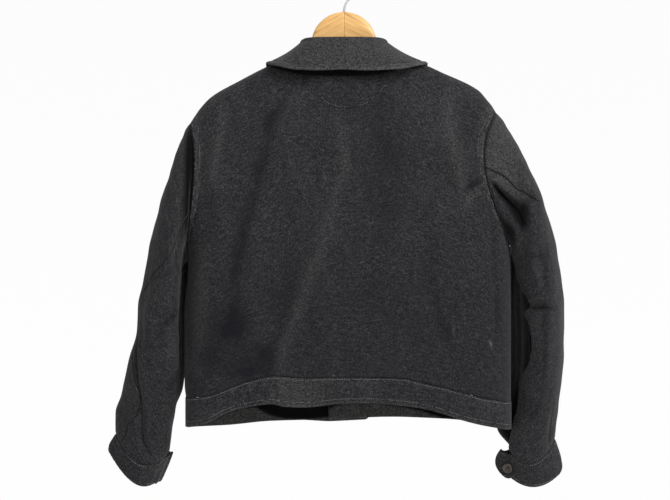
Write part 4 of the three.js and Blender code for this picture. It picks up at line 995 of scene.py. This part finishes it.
LEFT["rings"] = {
    "out_x": [
        255, 264, 271, 277.6, 284.6, 291.5, 299.5, 307, 314,
        321.6, 329, 331.4, 341.9, 352, 359.8, 367, 367.5,
    ],
    "out_drop": [
        257, 276.4, 297, 318, 339, 361, 390, 421, 452,
        494, 530, 569, 609, 651, 680, 706, 738,
    ],
    "in_x": [
        254.8, 256.6, 257.8, 258.6, 259.2, 259.8, 260.4, 261, 261.4,
        261.6, 261.4, 261, 260.6, 262.5, 270, 276.3, 280,
    ],
    "in_drop": [442, 452, 462, 472, 483, 495, 509, 525, 542, 562, 585, 610, 636, 667, 698, 731, 767],
    "y": [0, 0, 0, 0, 0, 0, 1, 3, 5, 8, 10, 12, 15, 19, 23, 27, 30],
    "deep": [60, 61, 62, 63, 64, 64, 63, 62, 61, 60, 59, 57, 54, 49, 43, 36, 29],
    "sag": [0, 0, 0, 0, 0, 0, 0, 0, 0, 0, 0, 0, 0, 4, 12, 22, 33],
    "scoop": [6, 3, 1, 0, 0, 0, 0, 0, 0, 0, 0, 0, 0, 0, 0, 0, 0],
    "wrap": [0] * 17,
    "tuck": [4, 14, 23, 30, 33, 33, 31, 30, 28, 28, 28, 27, 25, 20, 10, 3, 0],
}
LAST_RING = 17
BACK_ROUNDNESS = 0.62
RIGHT["back_seam"] = {
    "ring": [0, 0.75, 1.6, 2.4, 3.3, 5.6, 6.85, 9, 13, 17],
    "deg": [-83, -80.5, -78, -79, -74, -47, -6, 8, 8, 6],
}
LEFT["back_seam"] = {
    "ring": [0, 2.5, 5.5, 7.5, 9.5, 10.4, 11.2, 12.5, 13.8, 14.6, 15.2, 15.9, 16.3, 17],
    "deg": [-118, -116, -106, -88, -54, -27, -16, -16, -52, -74, -72, -57, -53, -36],
}
# Below the underarm each sleeve turns a side to the body; its edge by ring and degrees
RIGHT["lit_from"] = {
    "ring": [3.4, 4.2, 7.1, 8.2, 8.96, 9.15, 9.4, 10.5, 11.7, 12.7, 13.7, 14.6, 16, 17],
    "deg": [-190, -180, -165, -152, -144, -157, -160, -149, -145, -149.5, -168, -166, -170, -172],
}
LEFT["lit_from"] = {
    "ring": [2.2, 3.5, 5, 8, 11, 13.5, 15, 17], "deg": [-190, -178, -172, -166, -160, -166, -180, -195],
}
# A deep pinched valley runs out from the right armhole, and a long ridge down the left forearm
RIGHT["valley"] = {
    "ring": [0.4, 0.8, 1.25, 1.75, 2.25, 2.9, 3.6, 4.6],
    "deg": [-94, -96.5, -99, -102, -104.5, -104, -98, -90],
    "half": [3, 4.5, 5.5, 8, 11, 13, 14, 13],
}
LEFT["ridge"] = {
    "ring": [10.5, 12.3, 13.8, 14.2, 14.7, 15.2, 15.8, 16.2, 16.6],
    "deg": [-16, -32, -67, -74, -81, -88, -93, -98, -110],
}
# Sharp folds that hold a shadow, in the same rows as the folds below
LEFT["shades"] = [(8.6, 11.4, -168, 78, 9, 0.4), (12.6, 14.2, -178, 60, 10, 0.5)]
RIGHT["shades"] = [(8.8, 10.8, -164, 96, 8, 0.6), (2.8, 6.4, -112, 96, 9, 0.3)]
FRONT_SEAM = {"ring": [0, 8, 17], "deg": [118, 132, 140]}
# Folds as rows of from ring, to ring, degrees, turn over the run, width in degrees and rise
LEFT["folds"] = [
    (9, 16, -62, -8, 13, 3),
    (8, 15, -38, -6, 12, -2),
    (2, 8, -128, 10, 15, -5),
]
RIGHT["folds"] = [
    (1, 6, -128, 10, 18, -5),
    (6, 10, -112, 24, 16, -4),
    (8, 15, -92, -14, 15, 4),
]
LEFT["creases"] = [
    (8.6, 11.2, -150, 46, 6, -3.5),
    (9.4, 12.0, -140, 40, 8, 3.0),
    (3, 9, -100, 20, 8, 2.0),
    (5, 11, -140, 22, 7, -2.5),
    (9, 14, -120, 16, 8, 2.2),
    (12, 17, -110, 10, 8, -1.8),
    (4, 12, 60, 10, 14, 3.0),
    (7, 15, 90, -16, 12, -3.0),
]
RIGHT["creases"] = [
    (4.6, 6.8, -130, 34, 9, 4.0),
    (5.4, 7.6, -132, 40, 5, -3.5),
    (6.2, 8.8, -128, 34, 9, 4.0),
    (8.9, 10.7, -162, 94, 9, -5),
    (8.4, 10.2, -162, 94, 11, 4),
    (2.6, 5.2, -74, 14, 6, -2.5),
    (3.0, 5.6, -60, 14, 6, 2.5),
    (3.4, 6.0, -86, 16, 6, 2.5),
    (1.6, 4.2, -122, 10, 8, 2.5),
    (6.0, 8.6, -128, 14, 8, 4.0),
    (6.6, 9.2, -116, 20, 6, -3.5),
    (9, 16, -120, 14, 8, -2.2),
    (4, 12, 60, 10, 14, 3.0),
    (7, 15, 90, -16, 12, -3.0),
    (14.5, 17, -55, 8, 5, -2.0),
]


def ring_folds(folds, ring, deg):
    total = 0
    for start, end, at, turning, width, rise in folds:
        along = np.clip((ring - start) / (end - start), 0, 1)
        off = (deg - at - turning * along) / width
        total = total + rise * np.sin(math.pi * along) * np.exp(-(off**2))
    return total


def valley_share(side, ring, deg):
    """How deep a point lies in the pinched valley, from 0 to 1."""
    if "valley" not in side:
        return np.zeros(np.shape(ring))
    valley = side["valley"]
    off = deg - through(valley["ring"], valley["deg"], ring)
    off = off / through(valley["ring"], valley["half"], ring)
    run = np.clip((ring - 0.35) / 0.5, 0, 1) * ease((5.3 - ring) / 2.6)
    return run * np.exp(-np.abs(off) ** 3)


def unlit_side(side, ring, deg):
    """1 on the side that the sleeve turns to the body, past its lit edge, 0 elsewhere."""
    if "lit_from" not in side:
        return np.zeros(np.shape(ring))
    edge = through(side["lit_from"]["ring"], side["lit_from"]["deg"], ring)
    near = np.where(deg > 100, deg - 360, deg)
    lower = ease((edge - near) / 6) * ease((near + 215) / 12) * np.clip((ring - 2.6) / 1.5, 0, 1)
    underarm = ease((-116 - near) / 14) * np.exp(-(((ring - 1.35) / 1.15) ** 4)) * (side["sign"] > 0)
    return np.maximum(lower, underarm * ease((near + 215) / 12))


def sleeve_point(side, ring, deg):
    angle = np.radians(deg)
    sin, cos = np.sin(angle), np.cos(angle)
    row = {
        key: through(np.arange(1, LAST_RING + 1), values, np.maximum(ring, 1))
        for key, values in side["rings"].items()
    }
    outward_share = (1 + cos) / 2
    x = mix(row["in_x"], row["out_x"], outward_share) - row["scoop"] * sin**2
    x = x - (row["wrap"] + np.where(sin > 0, row["tuck"], 0)) * sin * (1 - cos) / 2
    drop = mix(row["in_drop"], row["out_drop"], outward_share) + np.where(sin < 0, row["sag"], 0) * sin**2
    swing = np.where(sin < 0, -np.abs(sin) ** BACK_ROUNDNESS, sin)
    on_ring = np.stack([side["sign"] * x, row["y"] + row["deep"] * swing, -drop], -1)
    hole_level = np.minimum((1 - cos) / 2 * UNDERARM, UNDERARM - 1e-9)
    hole_x, hole_y, hole_drop = armhole_edge(side, hole_level, np.where(sin < 0, -1, 1))
    at_hole = np.stack([hole_x + side["sign"] * SEAM_GAP, hole_y, -hole_drop], -1)
    point = mix(at_hole, on_ring, np.clip(ring, 0, 1)[..., None])
    out = unit(np.stack([
        side["sign"] * cos * row["deep"], sin * (row["out_x"] - row["in_x"] + 60) / 2, np.zeros_like(sin),
    ], -1))
    wrapped = (deg + 180) % 360 - 180
    rise = ring_folds(side["folds"], ring, wrapped) + ring_folds(side["creases"], ring, wrapped)
    rise = rise - 15 * valley_share(side, ring, wrapped)
    rise = rise - 9 * unlit_side(side, ring, wrapped) * ease((ring - 2.6) / 1.5)
    if "ridge" in side:
        off = wrapped - through(side["ridge"]["ring"], side["ridge"]["deg"], ring)
        fade = np.clip((ring - 11.5) / 1.5, 0, 1) * np.clip((16.9 - ring) / 0.5, 0, 1)
        crest, ditch = np.exp(-(((off + 5) / 7) ** 2)), np.exp(-(((off - 5) / 4.5) ** 2))
        rise = rise + fade * (3.2 * crest - 4.5 * ditch)
    rise = rise + 0.8 * np.clip(ring / 2, 0, 1) * swells(ring * 30, deg * 1.3, 46, 31)
    rise = rise + 1.6 * np.exp(-(((ring - 0.6) / 0.4) ** 2)) - 0.9 * np.exp(-((ring / 0.06) ** 2))
    if side["sign"] < 0:
        under_edge = np.exp(-(((wrapped + 70) / 45) ** 4))
        rise = rise - 6 * under_edge * np.exp(-(((ring - 0.25) / 0.35) ** 2)) * np.clip(ring / 0.1, 0, 1)
    pucker = np.sin(deg * 0.72 + 2 * swells(deg, ring, 40, 32))
    rise = rise + 0.4 * np.exp(-(((ring - 0.25) / 0.2) ** 2)) * pucker
    rise = rise - 0.8 * np.exp(-(((ring - LAST_RING) / 0.06) ** 2))
    return point + out * rise[..., None]


def sleeve_surface(side, start, end):
    """A sleeve panel between two seams, as a function of shares down and across."""

    def surface(down, across):
        ring = down * LAST_RING
        first, last = start(ring), end(ring)
        deg = mix(first, last, across) + np.where(across <= 0, 0.17, 0) - np.where(across >= 1, 0.17, 0)
        point = sleeve_point(side, ring, deg)
        girth = (last - first) * 1.05
        ditch = np.exp(-((across * girth / 1.6) ** 2)) + np.exp(-(((1 - across) * girth / 1.6) ** 2))
        inner_x = through(np.arange(1, LAST_RING + 1), side["rings"]["in_x"], ring)
        middle = np.stack([side["sign"] * (inner_x + 30), np.zeros_like(deg), point[..., 2]], -1)
        return point + unit(middle - point) * (0.9 * ditch * np.clip(ring, 0, 1))[..., None]

    return surface


sleeve_down = np.concatenate([np.linspace(0, 0.09, 22), np.linspace(0.097, 1, 150)])
for side_name, side in SIDES.items():
    back_seam = lambda ring: through(side["back_seam"]["ring"], side["back_seam"]["deg"], ring)
    front_seam = lambda ring: through(FRONT_SEAM["ring"], FRONT_SEAM["deg"], ring)
    for part, start, end, count, flat, area in (
        ("top", back_seam, front_seam, 84, (0.24, 0.62), 0.085),
        ("under", lambda ring: front_seam(ring) - 360, back_seam, 70, (0.2, 0.5), 0.07),
    ):
        surface = sleeve_surface(side, start, end)
        across = np.concatenate([[0, 0.012], np.linspace(0.024, 0.976, count), [0.988, 1]])

        def sleeve_cap_highlight(down, across, face):
            """Painted highlight: the nap is paler over the cap of the sleeve, twice as much on the right
            sleeve, which faces the light.
            """
            ring, deg = down * LAST_RING, mix(start(down * LAST_RING), end(down * LAST_RING), across)
            return (0.16 if side_name == "right" else 0.08) * ease((4.5 - ring) / 3) * (deg > -90)

        def sleeve_unlit(down, across, face):
            """Where hardly any light comes: the seams, the pinched valley, the body's side."""
            ring = down * LAST_RING
            deg = (mix(start(ring), end(ring), across) + 180) % 360 - 180
            under_edge = np.exp(-(((deg + 70) / 45) ** 4)) if side_name == "left" else 0
            hole = np.exp(-((ring / (0.1 + 0.5 * under_edge)) ** 2)) * 0.9
            girth = (end(ring) - start(ring)) * 1.05
            seam = np.exp(-((across * girth / 1.1) ** 2)) + np.exp(-(((1 - across) * girth / 1.1) ** 2))
            deep = np.clip(1.8 * valley_share(side, ring, deg), 0, 1) + unlit_side(side, ring, deg)
            deep = deep + ring_folds(side["shades"], ring, deg)
            if side_name == "left":
                drop = -face[..., 2]
                shade_edge = through([235, 260, 350, 380, 440], [-253, -258, -260, -261, -261], drop)
                shade = ease((face[..., 0] - shade_edge) / 13) * (deg < 0)
                deep = deep + shade * ease((450 - drop) / 40)
            return np.clip(hole + 0.6 * seam + deep, 0, 1)

        sleeve = cloth(
            f"sleeve_{side_name}_{part}_panel", surface, sleeve_down, across, CLOTH, side["sign"],
            (), flannel, wear_and_highlight=sleeve_cap_highlight, unlit=sleeve_unlit,
        )
        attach(sleeve, "root")
        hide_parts(f"sleeve_{side_name}_{part}")
        if part == "top":
            run_down = mix(0.02, 0.985, line)
            rows = [
                stitch_row(surface, run_down, np.full(LINE_POINTS, inset), side["sign"], show=0.12)
                for inset in (0.014, 0.05)
            ]
            sleeve_stitches = stitching(f"sleeve_{side_name}_stitching", rows, thread_finish)
            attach(sleeve_stitches, "root")

# Cuffs: a doubled band round the end of each sleeve, open at the inner side, where its two ends
# reach past the sleeve as a tab that buttons over.
LEFT["cuff"] = {"out_x": 380, "out_drop": 772, "in_x": 298, "in_drop": 813, "y": 34, "deep": 15, "sag": 25}
RIGHT["cuff"] = {"out_x": 353, "out_drop": 803, "in_x": 262, "in_drop": 803, "y": 36, "deep": 14, "sag": 20}
LEFT["tab"], RIGHT["tab"] = 11, 18
LEFT["flare"], RIGHT["flare"] = 3, 2
LEFT["tab_turn"], RIGHT["tab_turn"] = 62, 0
LEFT["tab_round"], RIGHT["tab_round"] = 2, 8
LEFT["button"], RIGHT["button"] = (0.5, 124), (0.56, -156)
CUFF_OPEN, TAB_SPAN, TAB_LIFT = 150, 30, 7
CUFF_ENDS = CUFF_OPEN + TAB_SPAN


def cuff_surface(side):
    top = {key: values[-1] for key, values in side["rings"].items()}

    def surface(share, around):
        column = around * CUFF_ENDS
        row = {key: mix(top[key], side["cuff"][key], share) for key in side["cuff"]}
        row["out_x"] = row["out_x"] + side["flare"] * np.sin(math.pi * share) ** 2
        row["out_x"] = row["out_x"] - 6 * (np.clip(share - 0.72, 0, 1) / 0.28) ** 2
        deg = np.clip(column, -CUFF_OPEN, CUFF_OPEN)
        sin, cos = np.sin(np.radians(deg)), np.cos(np.radians(deg))
        outward_share = (1 + cos) / 2
        x = side["sign"] * mix(row["in_x"], row["out_x"], outward_share)
        y = row["y"] + row["deep"] * sin
        drop = mix(row["in_drop"], row["out_drop"], outward_share)
        drop = drop + np.where(sin < 0, row["sag"] * sin**2, 0)
        drop = drop + 2 * SEAM_GAP * (1 - share) + np.where(np.abs(column) >= CUFF_OPEN, 1, 0)
        past = np.clip((np.abs(column) - CUFF_OPEN) / TAB_SPAN, 0, 1)
        turning = math.radians(side["tab_turn"])
        corner = side["tab_round"] * (2 * share - 1) ** 2
        span = np.abs(mix(row["in_x"], row["out_x"], outward_share) - row["in_x"]) + side["tab"] - corner
        reach = span * past
        x = x - side["sign"] * reach * math.cos(turning)
        flat_y = row["y"] + np.sign(column) * (DOUBLED + 0.5)
        y = np.where(past > 0, mix(y, flat_y, past) + reach * math.sin(turning) * past, y)
        sagged = np.where(sin > 0, row["sag"] * sin**2 * past, 0)
        drop = drop - np.where(past > 0, TAB_LIFT * past**3 - SEAM_GAP - sagged, 0)
        edge = np.exp(-((share / 0.05) ** 2)) + 0.6 * np.exp(-(((share - 1) / 0.05) ** 2))
        relief = 0.8 - 0.9 * edge + 0.35 * np.sin(column * 0.55 + 2 * swells(column, share * 40, 40, 41))
        relief = relief * (1 - past)
        point = np.stack([x, y, -drop], -1)
        out = unit(np.stack([side["sign"] * cos * row["deep"], sin * 45, np.zeros_like(sin)], -1))
        return point + out * relief[..., None]

    return surface


cuff_rows = np.concatenate([np.linspace(0, 0.12, 6), np.linspace(0.16, 0.84, 16), np.linspace(0.88, 1, 6)])
cuff_columns = np.concatenate([
    np.linspace(-1, -0.8, 14), np.linspace(-0.78, 0.78, 96), np.linspace(0.8, 1, 14),
])
for side_name, side in SIDES.items():
    surface = cuff_surface(side)
    cuff = cloth(
        f"cuff_{side_name}_band", surface, cuff_rows, cuff_columns, DOUBLED, side["sign"],
        ("bottom", "left", "right"), flannel,
        wear_and_highlight=lambda share, column, face: 0.15 * np.exp(-(((share - 1) / 0.03) ** 2)),
    )
    rows = [
        stitch_row(surface, np.full(LINE_POINTS, row), mix(-0.97, 0.97, line), side["sign"], show=show)
        for row, show in ((0.07, 0.4), (0.92, 0.4))
    ]
    cuff_stitches = stitching(f"cuff_{side_name}_stitching", rows, thread_finish)
    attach(cuff, "root")
    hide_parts(f"cuff_{side_name}")
    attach(cuff_stitches, "root")

# Collar: one doubled leaf that stands on the neck edge, rolls over at its fold and falls
# outside. Its edge is turned under and stitched 8 mm in, so that it stands up as a soft roll.
COLLAR_WALL, FOLD_RADIUS = 3.2, 4.6
COLLAR = {
    "deg": [0, 22.5, 45, 67.5, 90, 112.5, 135, 157.5, 172],
    "fold_x": [0, 26, 47, 60, 66, 63, 50, 28, 11],
    "fold_y": [-37, -35.5, -29, -17, -1, 22, 41, 54, 60],
    "fold_drop": [103.5, 103.5, 103.6, 104.4, 108, 121, 144, 166, 176],
    "edge_x": [0, 44, 80, 110, 127, 125, 107, 79, 53],
    "edge_y": [-57, -56, -51, -36, -2, 42, 61, 70, 73],
    "edge_drop": [155, 156.5, 154.5, 148, 143.5, 158, 190, 219, 239],
}
COLLAR_REACH = 172
STAND_SHARE, ROLL_SHARE = 0.3, 0.2


def collar_surface(path, around):
    deg = around * COLLAR_REACH
    sign, half = np.where(deg < 0, -1, 1), np.abs(deg)
    row = {key: through(COLLAR["deg"], values, half) for key, values in COLLAR.items() if key != "deg"}
    angle = np.radians(half)
    behind = half <= 90
    column = sign * NECK_SHARE * np.sin(angle)
    neck_drop = np.where(behind, top_drop(column, -1), top_drop(column, 1))
    foot_gap = SEAM_GAP + np.where(behind, 0.5, 1 + 3 * np.cos(angle) ** 2)
    tip = np.where(deg < 0, LEFT["tip"], RIGHT["tip"])
    neck_y = np.where(behind, -NECK_BACK, NECK_FRONT) * np.abs(np.cos(angle))
    neck = np.stack([column * tip, neck_y, -neck_drop + foot_gap], -1)
    fold = np.stack([sign * row["fold_x"], row["fold_y"], -row["fold_drop"]], -1)
    spread = np.where(deg < 0, 0.98, 1.05)
    edge = np.stack([sign * row["edge_x"] * spread, row["edge_y"], -row["edge_drop"]], -1)
    out = edge - fold
    out[..., 2] = 0
    out = unit(out)
    up = np.array([0, 0, 1])
    foot = neck - out * (COLLAR_WALL - 0.6)
    turning = np.clip((path - STAND_SHARE) / ROLL_SHARE, 0, 1) * math.pi
    roll = fold - out * (FOLD_RADIUS * np.cos(turning))[..., None]
    roll = roll - up * (FOLD_RADIUS * (1 - np.sin(turning)))[..., None]
    stand = np.clip(path / STAND_SHARE, 0, 1)[..., None]
    roll_start = fold - out * FOLD_RADIUS - up * FOLD_RADIUS
    roll_end = fold + out * FOLD_RADIUS - up * FOLD_RADIUS
    fall_share = np.clip((path - STAND_SHARE - ROLL_SHARE) / (1 - STAND_SHARE - ROLL_SHARE), 0, 1)
    fall = mix(roll_end, edge, fall_share[..., None])
    point = np.where((path < STAND_SHARE)[..., None], mix(foot, roll_start, stand), roll)
    point = np.where((fall_share > 0)[..., None], fall, point)
    length = np.linalg.norm(edge - roll_end, axis=-1)
    from_edge = (1 - fall_share) * length
    at_side = np.exp(-(((half - 85) / 28) ** 2))
    relief = mix(1.6, -3.5, at_side) * np.sin(math.pi * fall_share)
    relief = relief + 0.9 * fall_share * swells(deg * 1.6, from_edge, 50, 51) * (1 - at_side)
    relief = relief + np.where(fall_share > 0, 1.6 * np.exp(-(((from_edge - 3.6) / 3) ** 2)), 0)
    relief = relief - np.where(fall_share > 0, 0.9 * np.exp(-(((from_edge - 8) / 1.5) ** 2)), 0)
    return point + (out * 0.8 + up * 0.4) * relief[..., None]


collar_path = np.concatenate([
    np.linspace(0, 0.3, 14), np.linspace(0.315, 0.5, 14), np.linspace(0.515, 1, 44),
])
collar_around = np.linspace(-1, 1, 220)
collar = cloth(
    "collar_leaf", collar_surface, collar_path, collar_around, COLLAR_WALL, 1,
    ("bottom", "left", "right"), flannel,
    # painted highlight over the whole leaf, and the outer edge rubbed paler
    wear_and_highlight=lambda path, around, face: 0.16 + 0.2 * np.exp(-(((path - 0.99) / 0.02) ** 2)),
)
probe = mix(-0.985, 0.985, line)


def fall_path(around, inset):
    """Where on the leaf's path a row runs that keeps this distance from the outer edge."""
    at_fold = collar_surface(np.full_like(around, 0.5), around)
    at_edge = collar_surface(np.ones_like(around), around)
    length = np.linalg.norm(at_edge - at_fold, axis=-1)
    return 1 - (1 - STAND_SHARE - ROLL_SHARE) * inset / length


collar_rows = [stitch_row(collar_surface, fall_path(probe, 8), probe, 1, show=0.35)]
collar_stitches = stitching("collar_stitching", collar_rows, thread_finish)
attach(collar, "root")
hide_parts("collar")
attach(collar_stitches, "root")

# Buttons: dark horn, turned with a rim and a shallow dish, four holes and a cross of thread.
# Five close the front and one holds each cuff's tab.
BUTTON_WELL = 4.6
HOLE_RING, HOLE_RADIUS, HOLE_DEEP = 2.1, 0.95, 2.0
BUTTON_THREAD = 0.42
BUTTON_THREAD_DARK, BUTTON_THREAD_PALE = (26, 24, 24), (44, 41, 40)
HORN_DARK, HORN_MID, HORN_PALE = (18, 13, 11), (33, 23, 19), (62, 43, 33)
horn, horn_tree, horn_shader = start_finish(
    "dark_horn", Roughness=0.4, Specular_IOR_Level=0.3, Coat_Weight=0.12, Coat_Roughness=0.25
)
horn_place = node(horn_tree, "TexCoord").outputs["Object"]
drawn_out = node(horn_tree, "Mapping", [("Vector", horn_place)], Scale=(1, 1, 0.35)).outputs["Vector"]
horn_grain = node(
    horn_tree, "TexNoise", [("Vector", drawn_out)], Scale=320, Detail=4, Distortion=0.6,
)
horn_stops = [(0.3, HORN_DARK), (0.5, HORN_MID), (0.72, HORN_PALE)]
horn_tree.links.new(
    ramp(horn_tree, horn_grain.outputs["Fac"], horn_stops), horn_shader.inputs["Base Color"]
)
button_thread, button_tree, button_shader = start_finish("button_thread", Roughness=0.75)
twist = node(
    button_tree, "TexNoise",
    [("Vector", node(button_tree, "TexCoord").outputs["Object"])], Scale=1500, Detail=2,
)
button_tree.links.new(
    ramp(button_tree, twist.outputs["Fac"], [(0.35, BUTTON_THREAD_DARK), (0.65, BUTTON_THREAD_PALE)]),
    button_shader.inputs["Base Color"],
)
AROUND_DISC, AROUND_TUBE, TUBE_RINGS = 60, 8, 9
BUTTON_FOOT = 6.4
around_disc = np.linspace(0, 2 * math.pi, AROUND_DISC, endpoint=False)
radii = np.concatenate([np.linspace(0.12, 4.4, 26), np.linspace(4.7, 7.6, 9), [7.9, 8.1, 8.2, 8.12, 7.9]])


def button_height(radius, turning):
    dish = through([0, BUTTON_WELL - 0.6, 6.3, 7.0, 7.7, 8.2], [2.1, 2.15, 3.2, 3.4, 3.3, 2.6], radius)
    for k in range(4):
        angle = math.pi / 4 + k * math.pi / 2
        away = np.hypot(
            radius * np.cos(turning) - HOLE_RING * math.cos(angle),
            radius * np.sin(turning) - HOLE_RING * math.sin(angle),
        )
        dish = dish - HOLE_DEEP / (1 + np.exp((away - HOLE_RADIUS) / 0.09))
    return dish


def button_mesh():
    """A disc's points, axis along the third coordinate, and its faces."""
    r, a = np.meshgrid(radii, around_disc, indexing="ij")
    h = button_height(r, a)
    h[-1], h[-2] = 0.9, 1.7
    rings = np.stack([r * np.cos(a), r * np.sin(a), h], -1)
    base = [BUTTON_FOOT * np.cos(around_disc), BUTTON_FOOT * np.sin(around_disc), 0 * around_disc]
    points = np.vstack([rings.reshape(-1, 3), np.stack(base, -1)])
    return cap_with(points, loft_faces(len(radii) + 1, AROUND_DISC), AROUND_DISC, False)


def thread_cross():
    """Two crossed bars of thread through the four holes."""
    points, faces = [], []
    for k in range(2):
        angle = math.pi / 4 + k * math.pi / 2
        reach = np.linspace(-1, 1, TUBE_RINGS)
        middle = np.stack([
            HOLE_RING * reach * math.cos(angle), HOLE_RING * reach * math.sin(angle),
            2.1 + 0.42 * (1 - reach**4) + 0.25 * k - 0.8 * (np.abs(reach) > 0.99),
        ], -1)
        side_way = np.array([-math.sin(angle), math.cos(angle), 0])
        turns = np.linspace(0, 2 * math.pi, AROUND_TUBE, endpoint=False)
        tube = middle[:, None, :] + BUTTON_THREAD * (
            np.cos(turns)[None, :, None] * side_way + np.sin(turns)[None, :, None] * np.array([0, 0, 1])
        )
        faces.append(loft_faces(TUBE_RINGS, AROUND_TUBE) + TUBE_RINGS * AROUND_TUBE * k)
        points.append(tube.reshape(-1, 3))
    return np.vstack(points), np.vstack(faces)


def button_at(name, node_name, seat, outward):
    outward = np.array(outward, float) / np.linalg.norm(outward)
    level_way = unit(np.cross(outward, [0, 0, 1]))
    frame_of = np.stack([level_way, np.cross(outward, level_way), outward])
    points, quads = button_mesh()
    disc = new_piece(name, points @ frame_of + seat, quads, horn)
    cross_points, cross_faces = thread_cross()
    cross = new_piece(name + "_thread", cross_points @ frame_of + seat, cross_faces, button_thread)
    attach(disc, "root")
    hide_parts(node_name)
    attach(cross, "root")


for k in range(1, 6):
    low, high = (np.array(corner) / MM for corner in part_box(f"front_button_{k}"))
    seat = np.array([(low[0] + high[0]) / 2, low[1], (low[2] + high[2]) / 2])
    button_at(f"front_button_{k}_horn", f"front_button_{k}", seat, (0, 1, 0))

CUFF_BUTTON_GAP = 1.6
for side_name, side in SIDES.items():
    surface = cuff_surface(side)
    share, deg = side["button"]
    share, turn_share = np.array([share]), np.array([deg / CUFF_ENDS])
    small = 0.02
    down = surface(share + small, turn_share) - surface(share - small, turn_share)
    across = surface(share, turn_share + small) - surface(share, turn_share - small)
    outward = side["sign"] * unit(np.cross(down, across))[0]
    seat = surface(share, turn_share)[0] + CUFF_BUTTON_GAP * outward
    button_at(f"cuff_button_{side_name}_horn", f"cuff_button_{side_name}", seat, outward)
